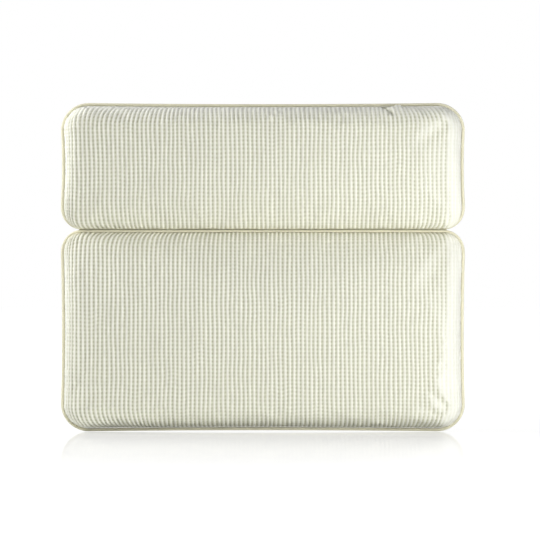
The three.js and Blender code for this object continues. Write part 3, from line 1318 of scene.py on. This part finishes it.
@dataclass
class Piping:
    """Bound cord in the seam round one panel.

    Attributes:
        form: form of the padded face, for the outline.
        radius: radius of the bound cord.
        corner_cuts: points on a corner.
        side_cuts: points on a side.
        ring: points on a quarter of the cord's section.
        pushed_out: how far the pads push the lower piping out along the fold.
        pushed_up: how far they push it to the upper panel.
        push_start: distance below the panel's top where the push starts to fade.
        push_end: distance at which it has faded.
    """

    form: FaceForm
    radius: float = 1.5 * MM
    corner_cuts: int = 14
    side_cuts: int = 40
    ring: int = 5
    pushed_out: float = 1.4 * MM
    pushed_up: float = 0.45 * MM
    push_start: float = 2.0 * MM
    push_end: float = 14.0 * MM

    def outline(self, depth: float) -> bpy.types.Object:
        """Makes the loop of edges that the cord runs along.

        Args:
            depth: Y of the cord's middle.

        Returns:
            The loop, with its rounded corners.
        """
        select_only()
        bpy.ops.mesh.primitive_plane_add(size=1.0, location=ORIGIN, rotation=(QUARTER_TURN, 0.0, 0.0))
        obj = bpy.context.object
        bpy.ops.object.transform_apply(location=True, rotation=True, scale=True)
        width = 2.0 * (self.form.half_width - self.radius)
        height = self.form.high - self.form.low - 2.0 * self.radius
        with editing(obj):
            bpy.ops.transform.resize(value=(width, 1.0, height), center_override=ORIGIN)
            bpy.ops.transform.translate(value=(0.0, depth, self.form.middle))
            for free_end, corner in ((True, self.form.corner), (False, self.form.fold_corner)):
                bpy.ops.mesh.select_all(action="DESELECT")
                shape = bmesh.from_edit_mesh(obj.data)
                for vertex in shape.verts:
                    up = (vertex.co.z - self.form.middle) * self.form.panel.value
                    sharp = abs(abs(vertex.co.x) - 0.5 * width) < 0.01 * MM and len(vertex.link_edges) == 2
                    vertex.select_set(sharp and (up > 0.4 * height) == free_end)
                bmesh.update_edit_mesh(obj.data)
                offset = corner - self.radius
                bpy.ops.mesh.bevel(offset=offset, segments=self.corner_cuts, affect="VERTICES")
            bpy.ops.mesh.select_all(action="SELECT")
            bpy.ops.mesh.delete(type="ONLY_FACE")
            bpy.ops.mesh.select_mode(type="EDGE")
            bpy.ops.mesh.select_all(action="DESELECT")
            shape = bmesh.from_edit_mesh(obj.data)
            for edge in shape.edges:
                edge.select_set(edge.calc_length() > self.form.corner)
            bmesh.update_edit_mesh(obj.data)
            bpy.ops.mesh.subdivide(number_cuts=self.side_cuts)
        return obj

    def build(self, material: bpy.types.Material, depth: float) -> bpy.types.Object:
        """Makes the closed loop of cord.

        Args:
            material: finish of the binding.
            depth: Y of the cord's middle.

        Returns:
            The cord, which stands for the panel's piping.
        """
        panel = self.form.panel
        obj = self.outline(depth)
        places = np.zeros(len(obj.data.vertices) * 3)
        obj.data.vertices.foreach_get("co", places)
        places = places.reshape(-1, 3)
        drawn = self.form.drawn(places[:, 0], places[:, 1], places[:, 2])
        if panel is Panel.LOWER:
            below = self.form.high - drawn[:, 2]
            near = 1.0 - smooth_step(self.push_start, self.push_end, below)
            drawn[:, 1] -= self.pushed_out * near
            drawn[:, 2] += self.pushed_up * near
        obj.data.vertices.foreach_set("co", drawn.ravel())
        bpy.ops.object.convert(target="CURVE")
        obj = bpy.context.object
        obj.data.bevel_depth = self.radius
        obj.data.bevel_resolution = self.ring
        bpy.ops.object.convert(target="MESH")
        obj = bpy.context.object
        dress(obj, f"{panel.label}_bound_piping", material)
        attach(obj, panel.body)
        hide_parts(f"{panel.label}_piping")
        return obj


# Fold


@dataclass
class FoldTape:
    """Woven tape behind the two pipings, sewn to both panels along the fold.

    Attributes:
        cuts: cuts across the tape, where it bends.
        corner: radius of the tape's corners.
        rounding: rounding of the tape's edges.
        bend: half the height of the part that bends. Not used.
        stitch_length: length of a stitch.
        stitch_gap: space between stitches.
        stitch_radius: radius of the thread.
        stitch_lift: how far the middle of the thread stands off the tape.
        from_edge: distance of a row of stitches from the tape's edge.
    """

    cuts: int = 11
    corner: float = 1.5 * MM
    rounding: float = 0.2 * MM
    bend: float = 1.5 * MM
    stitch_length: float = 2.6 * MM
    stitch_gap: float = 1.1 * MM
    stitch_radius: float = 0.3 * MM
    stitch_lift: float = 0.1 * MM
    from_edge: float = 1.3 * MM

    def build(self, finishes: Finishes) -> list[bpy.types.Object]:
        """Makes the tape and its two rows of stitches.

        Args:
            finishes: the pillow's materials.

        Returns:
            The tape and the rows of stitches.
        """
        low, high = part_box("hinge_tape")
        size = high - low
        middle = 0.5 * (low + high)
        select_only()
        bpy.ops.mesh.primitive_cube_add(size=1.0, location=ORIGIN)
        tape = bpy.context.object
        with editing(tape):
            bpy.ops.transform.resize(value=tuple(size), center_override=ORIGIN)
            bpy.ops.transform.translate(value=tuple(middle))
            bpy.ops.mesh.select_mode(type="EDGE")
            bpy.ops.mesh.select_all(action="DESELECT")
            shape = bmesh.from_edit_mesh(tape.data)
            for edge in shape.edges:
                ends = [vertex.co.y for vertex in edge.verts]
                edge.select_set(abs(ends[0] - ends[1]) > 0.5 * size.y)
            bmesh.update_edit_mesh(tape.data)
            bpy.ops.mesh.bevel(offset=self.corner, segments=4, affect="EDGES")
            for cut in range(self.cuts):
                bpy.ops.mesh.select_all(action="SELECT")
                height = low.z + size.z * (cut + 1) / (self.cuts + 1)
                bpy.ops.mesh.bisect(plane_co=(0.0, 0.0, height), plane_no=(0.0, 0.0, 1.0))
        apply_modifier(tape, "BEVEL", width=self.rounding, segments=2, limit_method="ANGLE")
        dress(tape, "fold_tape", finishes.tape)
        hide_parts("hinge_tape")
        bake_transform(tape)
        rows = [self.stitch_row(panel, low, high, finishes.thread) for panel in Panel]
        return [tape, *rows]

    def stitch_row(
        self, panel: Panel, low: Vector, high: Vector, material: bpy.types.Material
    ) -> bpy.types.Object:
        """Makes one row of lock stitches over the back of the tape.

        Args:
            panel: the panel that the row sews the tape to.
            low: lowest corner of the tape.
            high: highest corner of the tape.
            material: finish of the thread.

        Returns:
            The row.
        """
        select_only()
        bpy.ops.mesh.primitive_cylinder_add(
            vertices=6, radius=self.stitch_radius, depth=self.stitch_length,
            rotation=(0.0, QUARTER_TURN, 0.0),
        )
        stitch = bpy.context.object
        bpy.ops.object.transform_apply(location=True, rotation=True, scale=True)
        apply_modifier(stitch, "BEVEL", width=0.5 * self.stitch_radius, segments=1, limit_method="ANGLE")
        pitch = self.stitch_length + self.stitch_gap
        span = high.x - low.x - 2.0 * self.corner - self.stitch_length
        count = int(span / pitch)
        height = (high.z - self.from_edge) if panel is Panel.UPPER else (low.z + self.from_edge)
        copies = []
        for number in range(count + 1):
            x = pitch * (number - 0.5 * count)
            copies.append(copy_to(stitch, "stitch", Vector((x, high.y + self.stitch_lift, height))))
        remove(stitch)
        select_only(copies[0])
        for copy in copies[1:]:
            copy.select_set(True)
        bpy.ops.object.join()
        row = dress(copies[0], f"{panel.label}_tape_stitches", material)
        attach(row, panel.body)
        return row


# Suction cups


def cup_centre(cup: str) -> Vector:
    """Middle of a cup's rim, on the wall."""
    low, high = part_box(f"{cup}_suction_cup")
    return Vector((0.5 * (low.x + high.x), high.y, 0.5 * (low.z + high.z)))


def spin_profile(profile: list[tuple[float, float]], steps: int) -> bpy.types.Object:
    """Turns a profile about the Y axis.

    Args:
        profile: radius and depth of each point.
        steps: points round the turn.

    Returns:
        The turned piece, at the origin.
    """
    select_only()
    bpy.ops.mesh.primitive_plane_add(size=MM, location=ORIGIN)
    obj = bpy.context.object
    with editing(obj):
        bpy.ops.mesh.merge(type="CENTER")
        bpy.ops.transform.translate(value=(profile[0][0], profile[0][1], 0.0))
        for before, after in zip(profile, profile[1:]):
            step = (after[0] - before[0], after[1] - before[1], 0.0)
            bpy.ops.mesh.extrude_vertices_move(TRANSFORM_OT_translate={"value": step})
        bpy.ops.mesh.select_all(action="SELECT")
        bpy.ops.mesh.spin(steps=steps, angle=FULL_TURN, center=ORIGIN, axis=(0.0, 1.0, 0.0))
        bpy.ops.mesh.select_all(action="SELECT")
        bpy.ops.mesh.remove_doubles(threshold=0.001 * MM)
        bpy.ops.mesh.select_all(action="SELECT")
        bpy.ops.mesh.normals_make_consistent(inside=False)
    return obj


def arc(
    centre: tuple[float, float], radii: tuple[float, float], turns: tuple[float, float], steps: int
) -> list[tuple[float, float]]:
    """Places points on an arc of an ellipse.

    Args:
        centre: radius and depth of its centre.
        radii: its half-axes.
        turns: first and last angle in degrees, from the radius towards the depth.
        steps: number of steps.

    Returns:
        Radius and depth of each point.
    """
    points = []
    for step in range(steps + 1):
        turn = math.radians(turns[0] + (turns[1] - turns[0]) * step / steps)
        points.append((centre[0] + radii[0] * math.cos(turn), centre[1] + radii[1] * math.sin(turn)))
    return points


@dataclass
class SuctionCup:
    """Clear vinyl cup with a neck and a mushroom head that is pushed through its grommet.

    Depths run from the wall at 0 towards the pillow.

    Attributes:
        radius: radius of the rim.
        rim_width: width of the rim's flat.
        rim_thickness: thickness of the rim.
        hollow: depth of the hollow.
        crown: depth that the dome's curve would reach.
        dome_start: angle in degrees at which the dome leaves the collar.
        height: depth of the collar's end.
        collar: radius of the collar.
        neck: radius of the neck.
        head: radius of the head.
        head_start: depth of the head's underside.
        head_end: depth of the head's tip.
        tip: rounding of the tip.
        edge: rounding of the small edges.
        lip: rounding of the rim.
        round_steps: points round the cup.
    """

    radius: float = 24.0 * MM
    rim_width: float = 2.0 * MM
    rim_thickness: float = 1.0 * MM
    hollow: float = 9.0 * MM
    crown: float = 12.5 * MM
    dome_start: float = -68.0
    height: float = 13.0 * MM
    collar: float = 7.5 * MM
    neck: float = 5.0 * MM
    head: float = 8.0 * MM
    head_start: float = 18.5 * MM
    head_end: float = 22.5 * MM
    tip: float = 2.5 * MM
    edge: float = 0.6 * MM
    lip: float = 0.5 * MM
    round_steps: int = 64

    def profile(self) -> list[tuple[float, float]]:
        """Follows the section from the tip of the head round to the middle of the hollow.

        Returns:
            Radius and depth of each point.
        """
        edge = self.edge
        small = (edge, edge)
        tip = arc((self.head - self.tip, -self.head_end + self.tip), (self.tip, self.tip), (-90.0, 0.0), 6)
        under = arc((self.head - edge, -self.head_start - edge), small, (0.0, 90.0), 3)
        foot = (self.neck + edge, -self.head_start)
        root = [(self.neck, -self.head_start), (self.neck, -self.height - edge)]
        fillet = arc((self.neck + edge, -self.height - edge), small, (180.0, 90.0), 3)
        collar = arc((self.collar - edge, -self.height + edge), small, (-90.0, 0.0), 3)
        bulge = (self.radius, self.crown - self.rim_thickness)
        dome = arc((0.0, -self.rim_thickness), bulge, (self.dome_start, 0.0), 20)
        lip = arc((self.radius - self.lip, -self.lip), (self.lip, self.lip), (0.0, 90.0), 3)
        inner = arc((0.0, 0.0), (self.radius - self.rim_width, self.hollow), (0.0, -90.0), 22)
        return [(0.0, -self.head_end), *tip, *under, foot, *root, *fillet, *collar, *dome, *lip, *inner]

    def build_all(self, material: bpy.types.Material) -> list[bpy.types.Object]:
        """Makes one cup and copies it to every grommet.

        Args:
            material: the vinyl.

        Returns:
            The cups.
        """
        first = spin_profile(self.profile(), self.round_steps)
        dress(first, "cup_pattern", material)
        cups = []
        for panel in Panel:
            for name in panel.cups:
                cup = copy_to(first, f"{name}_vinyl_cup", cup_centre(name))
                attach(cup, f"{name}_cup")
                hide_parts(f"{name}_suction_cup")
                cups.append(cup)
                LOG.info("%s: placed", cup.name)
        remove(first)
        return cups


@dataclass
class Grommet:
    """Moulded ring through the back cloth, which holds a suction cup by its neck.

    Depths run from the wall at 0 towards the pillow.

    Attributes:
        bore: radius of the bore.
        barrel: radius of the barrel.
        flange: radius of the flange.
        outer: depth of the flange's outer face.
        inner: depth of its inner face.
        end: depth of the barrel's end.
        edge: rounding of the flange and of the bore.
        chamfer: chamfer of the small edges.
        groove: depth of the groove round the flange.
        groove_in: distance of the groove from the flange's edge.
        groove_width: width of the groove.
        round_steps: points round the grommet.
    """

    bore: float = 5.5 * MM
    barrel: float = 7.3 * MM
    flange: float = 12.0 * MM
    outer: float = 13.3 * MM
    inner: float = 14.7 * MM
    end: float = 18.2 * MM
    edge: float = 0.6 * MM
    chamfer: float = 0.3 * MM
    groove: float = 0.35 * MM
    groove_in: float = 1.6 * MM
    groove_width: float = 1.1 * MM
    round_steps: int = 48

    def profile(self) -> list[tuple[float, float]]:
        """Follows the section from the barrel's end and back to it.

        Returns:
            Radius and depth of each point.
        """
        edge = self.edge
        cut = self.chamfer
        rim = arc((self.flange - edge, -self.outer - edge), (edge, edge), (0.0, 90.0), 5)
        lead = arc((self.bore + edge, -self.outer - edge), (edge, edge), (90.0, 180.0), 5)
        from_rim = self.flange - self.groove_in
        to_bore = from_rim - self.groove_width
        ring = [
            (from_rim, -self.outer),
            (from_rim - cut, -self.outer - self.groove),
            (to_bore + cut, -self.outer - self.groove),
            (to_bore, -self.outer),
        ]
        start = (self.bore, -self.end)
        back = [(self.barrel - cut, -self.end), (self.barrel, -self.end + cut), (self.barrel, -self.inner)]
        under = [(self.flange - cut, -self.inner), (self.flange, -self.inner + cut)]
        return [start, *back, *under, *rim, *ring, *lead, start]

    def build_all(
        self, material: bpy.types.Material, nodes: dict[str, bpy.types.Object]
    ) -> list[bpy.types.Object]:
        """Makes one grommet, copies it to every hole, and dresses the washers.

        Args:
            material: the plastic.
            nodes: the frame's nodes by name.

        Returns:
            The grommets.
        """
        first = spin_profile(self.profile(), self.round_steps)
        dress(first, "grommet_pattern", material)
        grommets = []
        for panel in Panel:
            for name in panel.cups:
                grommet = copy_to(first, f"{name}_moulded_grommet", cup_centre(name))
                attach(grommet, panel.body)
                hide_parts(f"{name}_grommet")
                grommets.append(grommet)
                washer = nodes[f"{name}_grommet_washer"]
                washer.data.materials.clear()
                washer.data.materials.append(material)
                LOG.info("%s: placed", grommet.name)
        remove(first)
        return grommets


# Studio


@dataclass(frozen=True)
class Lamp:
    """A soft square lamp that looks at the pillow.

    Attributes:
        name: name of the lamp.
        place: where it stands.
        size: width of its face.
        power: its power in watts.
    """

    name: str
    place: tuple[float, float, float]
    size: float
    power: float

    def build(self, target: tuple[float, float, float]) -> None:
        """Adds the lamp.

        Args:
            target: the place that it looks at.
        """
        look = (Vector(target) - Vector(self.place)).to_track_quat("-Z", "Y")
        bpy.ops.object.light_add(type="AREA", location=self.place, rotation=look.to_euler())
        lamp = bpy.context.object
        lamp.name = self.name
        lamp.data.size = self.size
        lamp.data.energy = self.power


@dataclass
class Studio:
    """Pale floor, soft lamps and the camera.

    Attributes:
        distance: distance of the camera from the seam.
        lens: focal length in millimetres.
        sensor: width of the sensor in millimetres.
        aim_x: how far right of the pillow's middle the camera looks.
        aim_z: height that the camera looks at.
        ambient: strength of the light from all round.
        floor_size: width of the floor.
        floor_gap: space between the pillow and the floor.
        gloss: share of the floor's mirror image at the pillow's foot.
        fade: distance in front of the pillow at which the mirror image ends.
        mirror_blur: roughness of the mirror image.
        floor_white: how white the floor is near the pillow before the lamps light it.
        white_start: distance from the pillow's middle at which the floor starts to whiten.
        white_full: distance at which it is white.
        shadow_tone: how much of the pillow's shadow the floor shows.
        lamp_target: place that the lamps look at.
        lamps: the lamps.
    """

    distance: float = 2.0
    lens: float = 139.8
    sensor: float = 36.0
    aim_x: float = 6.7 * MM
    aim_z: float = -37.7 * MM
    ambient: float = 0.03
    floor_size: float = 12.0
    floor_gap: float = 0.3 * MM
    gloss: float = 0.42
    fade: float = 0.42
    mirror_blur: float = 0.008
    floor_white: float = 0.8
    white_start: float = 0.3
    white_full: float = 1.0
    shadow_tone: float = 0.3
    lamp_target: tuple[float, float, float] = (0.0, 0.0, -0.035)
    lamps: tuple[Lamp, ...] = (
        Lamp("key", (0.54, -0.63, -0.07), 0.2, 2.7),
        Lamp("side", (0.9, 0.1, 0.05), 0.3, 0.4),
        Lamp("fill", (-0.8, -0.05, 0.45), 0.3, 6.4),
        Lamp("top", (0.0, -0.35, 1.3), 0.8, 0.4),
        Lamp("front", (0.0, -2.05, 0.8), 0.5, 17.4),
        Lamp("back", (0.5, 1.8, 0.9), 0.9, 26.0),
    )

    def build(self) -> None:
        """Sets up the camera, the lamps, the world and the floor."""
        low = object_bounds()[0]
        scene = bpy.context.scene
        scene.view_settings.view_transform = "Standard"
        eye = (self.aim_x, -self.distance, self.aim_z)
        bpy.ops.object.camera_add(location=eye, rotation=(QUARTER_TURN, 0.0, 0.0))
        camera = bpy.context.object
        camera.data.lens = self.lens
        camera.data.sensor_width = self.sensor
        scene.camera = camera
        for lamp in self.lamps:
            lamp.build(self.lamp_target)
        self.world()
        self.floor(low[2], low[1])

    def world(self) -> None:
        """Makes a white surround to look at, with a plain level of light on the pillow."""
        world = bpy.data.worlds.new("studio")
        bpy.context.scene.world = world
        world.use_nodes = True
        tree = world.node_tree
        tree.nodes.clear()
        # Rays that look at the surround see white, and rays that light the pillow find it dim.
        path = add_node(tree, "ShaderNodeLightPath", {})
        rays = path.outputs
        direct = {"operation": "MAXIMUM", 0: rays["Is Camera Ray"], 1: rays["Is Glossy Ray"]}
        look = add_node(tree, "ShaderNodeMath", direct)
        through = {"operation": "MAXIMUM", 0: look.outputs[0], 1: rays["Is Transmission Ray"]}
        seen = add_node(tree, "ShaderNodeMath", through)
        paper = linear("#FFFFFF")
        dim = add_node(tree, "ShaderNodeBackground", {"Color": paper, "Strength": self.ambient})
        white = add_node(tree, "ShaderNodeBackground", {"Color": paper, "Strength": 1.0})
        both = {0: seen.outputs[0], 1: dim.outputs[0], 2: white.outputs[0]}
        mix = add_node(tree, "ShaderNodeMixShader", both)
        add_node(tree, "ShaderNodeOutputWorld", {"Surface": mix.outputs[0]})

    def floor(self, level: float, front: float) -> None:
        """Makes the floor.

        Args:
            level: lowest Z of the pillow.
            front: lowest Y of the pillow.
        """
        select_only()
        bpy.ops.mesh.primitive_plane_add(size=self.floor_size, location=ORIGIN)
        floor = bpy.context.object
        with editing(floor):
            bpy.ops.mesh.subdivide(number_cuts=3)
            bpy.ops.transform.translate(value=(0.0, 0.0, level - self.floor_gap))
        dress(floor, "floor", self.floor_material(front))
        floor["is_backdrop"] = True

    def floor_material(self, front: float) -> bpy.types.Material:
        """Makes the floor's finish: white paper that keeps the shadow, under a mirror image that fades.

        Args:
            front: lowest Y of the pillow.

        Returns:
            The finish.
        """
        material, tree, shader = new_material("pale_floor")
        feed(tree, shader, {"Base Color": linear("#F4F4F2"), "Roughness": 0.9, "Specular IOR Level": 0.0})
        place = add_node(tree, "ShaderNodeTexCoord", {})
        axes = add_node(tree, "ShaderNodeSeparateXYZ", {0: place.outputs["Object"]})
        x, y = axes.outputs["X"], axes.outputs["Y"]
        spot = add_node(tree, "ShaderNodeCombineXYZ", {0: x, 1: y})
        away = add_node(tree, "ShaderNodeVectorMath", {"operation": "LENGTH", 0: spot.outputs[0]})
        sweep = {1: self.white_start, 2: self.white_full, 3: self.floor_white, 4: 1.0}
        bright = add_node(tree, "ShaderNodeMapRange", {0: away.outputs["Value"], **sweep})
        lift = add_node(tree, "ShaderNodeEmission", {"Strength": bright.outputs[0]})
        grey = (self.shadow_tone, self.shadow_tone, self.shadow_tone, 1.0)
        shadow = add_node(tree, "ShaderNodeBsdfDiffuse", {"Color": grey})
        white = add_node(tree, "ShaderNodeAddShader", {0: lift.outputs[0], 1: shadow.outputs[0]})
        near = {0: y, 1: front - self.fade, 2: front + 30.0 * MM, 3: 0.0, 4: self.gloss}
        ahead = add_node(tree, "ShaderNodeMapRange", near)
        past = {0: y, 1: 0.0, 2: self.fade, 3: self.gloss, 4: 0.0}
        behind = add_node(tree, "ShaderNodeMapRange", past)
        lower = {"operation": "MINIMUM", 0: ahead.outputs[0], 1: behind.outputs[0]}
        share = add_node(tree, "ShaderNodeMath", lower)
        polish = {"Color": linear("#FFFFFF"), "Roughness": self.mirror_blur}
        mirror = add_node(tree, "ShaderNodeBsdfGlossy", polish)
        seen = {0: share.outputs[0], 1: white.outputs[0], 2: mirror.outputs[0]}
        surface = add_node(tree, "ShaderNodeMixShader", seen)
        # Only the camera sees that surface. Light bounces off plain pale paper.
        path = add_node(tree, "ShaderNodeLightPath", {})
        both = {0: path.outputs["Is Camera Ray"], 1: shader.outputs[0], 2: surface.outputs[0]}
        ground = add_node(tree, "ShaderNodeMixShader", both)
        feed(tree, tree.nodes["Material Output"], {"Surface": ground.outputs[0]})
        return material


# Assembly


@dataclass
class BathPillow:
    """The two panels, their fold and their cups, on the frame's measures.

    Attributes:
        corner: radius of the panels' free corners.
        fold_corner: radius of the corners at the fold.
        draw: how far a free side pulls in.
        inset: distance from a panel's outline to the sewn edge of its cover.
        seam_gap: half the space between the two sewn edges.
        front_rise: height of the padded face's edge over the seam.
        front_crown: how far the middle of the padded face stands out from its edge.
        front_shoulder: width of the rounded front edge.
        fold_shoulder: width of the upper panel's rounded edge along the fold.
        lower_fold_shoulder: width of the lower panel's rounded edge along the fold.
        fold_dip: how much lower a padded face is along the fold.
        fold_reach: how far from the fold's rounded edge it dips.
        fold_tuck: how much further in a cover is sewn at the fold.
        upper_lap: how far the upper cover laps over its piping at the fold.
        lower_lap: how far the lower cover laps over its piping at the fold.
        free_lap: how far a cover laps over its piping on the free sides.
        lap_rise: height over the seam at which a cover laps furthest.
        back_rise: height of the back's flat over the seam.
        back_shoulder: width of the rounded back edge.
    """

    corner: float = 26.0 * MM
    fold_corner: float = 20.0 * MM
    draw: float = 1.0 * MM
    inset: float = 3.3 * MM
    seam_gap: float = 0.15 * MM
    front_rise: float = 24.0 * MM
    front_crown: float = 5.0 * MM
    front_shoulder: float = 14.0 * MM
    fold_shoulder: float = 5.5 * MM
    lower_fold_shoulder: float = 9.0 * MM
    fold_dip: float = 13.0 * MM
    fold_reach: float = 75.0 * MM
    fold_tuck: float = 1.0 * MM
    upper_lap: float = 2.8 * MM
    lower_lap: float = 1.0 * MM
    free_lap: float = -0.6 * MM
    lap_rise: float = 3.4 * MM
    back_rise: float = 12.0 * MM
    back_shoulder: float = 16.0 * MM

    def form(self, panel: Panel, face: Face) -> FaceForm:
        """Shapes one face of a panel.

        Args:
            panel: the panel.
            face: which of its faces.

        Returns:
            The form, on the frame's measures.
        """
        low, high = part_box(f"{panel.label}_piping")
        seam = 0.5 * (low.y + high.y) + face.value * self.seam_gap
        if face is Face.PADDED:
            free = Edge(self.inset, self.front_shoulder, self.front_rise, self.free_lap, self.lap_rise)
            lap = self.upper_lap if panel is Panel.UPPER else self.lower_lap
            shoulder = self.fold_shoulder if panel is Panel.UPPER else self.lower_fold_shoulder
            fold = Edge(self.inset, shoulder, self.front_rise, lap, self.lap_rise, self.fold_tuck)
            crown = self.front_crown
            dip = self.fold_dip
        else:
            free = Edge(self.inset, self.back_shoulder, self.back_rise - self.seam_gap)
            fold = free
            crown = 0.0
            dip = 0.0
        return FaceForm(
            panel=panel, face=face, half_width=0.5 * (high.x - low.x),
            low=low.z, high=high.z, seam=seam, free=free, fold=fold,
            crown=crown, corner=self.corner, fold_corner=self.fold_corner, draw=self.draw,
            dip=dip, dip_reach=self.fold_reach, leans=self.leans(panel, face),
        )

    def leans(self, panel: Panel, face: Face) -> dict[WallPart, Lean]:
        """Gives the lean of the ribs on the walls of a padded face.

        Args:
            panel: the panel.
            face: which of its faces.

        Returns:
            The lean on each part of the end walls, or nothing for a back.
        """
        if face is Face.BACK:
            return {}
        if panel is Panel.UPPER:
            return {
                WallPart.FREE_LEFT: Lean(9.0 * MM, 40.0 * MM, 150.0 * MM),
                WallPart.FREE_RIGHT: Lean(8.0 * MM, 100.0 * MM, 160.0 * MM),
                WallPart.FOLD_LEFT: Lean(4.0 * MM, 70.0 * MM, 165.0 * MM),
                WallPart.FOLD_RIGHT: Lean(4.0 * MM, 130.0 * MM, 165.0 * MM),
            }
        return {
            WallPart.FREE_LEFT: Lean(9.0 * MM, 75.0 * MM, 160.0 * MM),
            WallPart.FREE_RIGHT: Lean(5.0 * MM, 110.0 * MM, 165.0 * MM),
            WallPart.FOLD_LEFT: Lean(6.5 * MM, 0.0, 150.0 * MM),
            WallPart.FOLD_RIGHT: Lean(4.0 * MM, 130.0 * MM, 165.0 * MM),
        }

    def cushion(self, front: FaceForm) -> Cushion:
        """Chooses how a panel's cover is sewn and lit. Only the upper one has a gathered seam.

        Args:
            front: form of the padded face.

        Returns:
            The padded front.
        """
        stitch = WaffleStitch()
        if front.panel is Panel.UPPER:
            return Cushion(front, stitch, pucker=Pucker(), seam_light=0.15, wall_open=0.5)
        return Cushion(front, stitch, pucker=None, seam_light=0.5, wall_open=0.0)

    def build(self, nodes: dict[str, bpy.types.Object]) -> None:
        """Builds and dresses every piece.

        Args:
            nodes: the frame's nodes by name.
        """
        finishes = Finishes.make()
        for panel in Panel:
            front = self.form(panel, Face.PADDED)
            self.cushion(front).build(finishes.knit)
            BackCloth(self.form(panel, Face.BACK)).build(finishes.backing)
            Piping(front).build(finishes.binding, front.seam + self.seam_gap)
        FoldTape().build(finishes)
        Grommet().build_all(finishes.grommet, nodes)
        SuctionCup().build_all(finishes.vinyl)


def main() -> None:
    """Loads the frame, builds the pillow on it and sets up the studio."""
    logging.basicConfig(level=logging.INFO, format="%(name)s: %(message)s")
    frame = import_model()
    Studio().build()
    BathPillow().build(frame["nodes"])


if __name__ == "__main__":
    main()
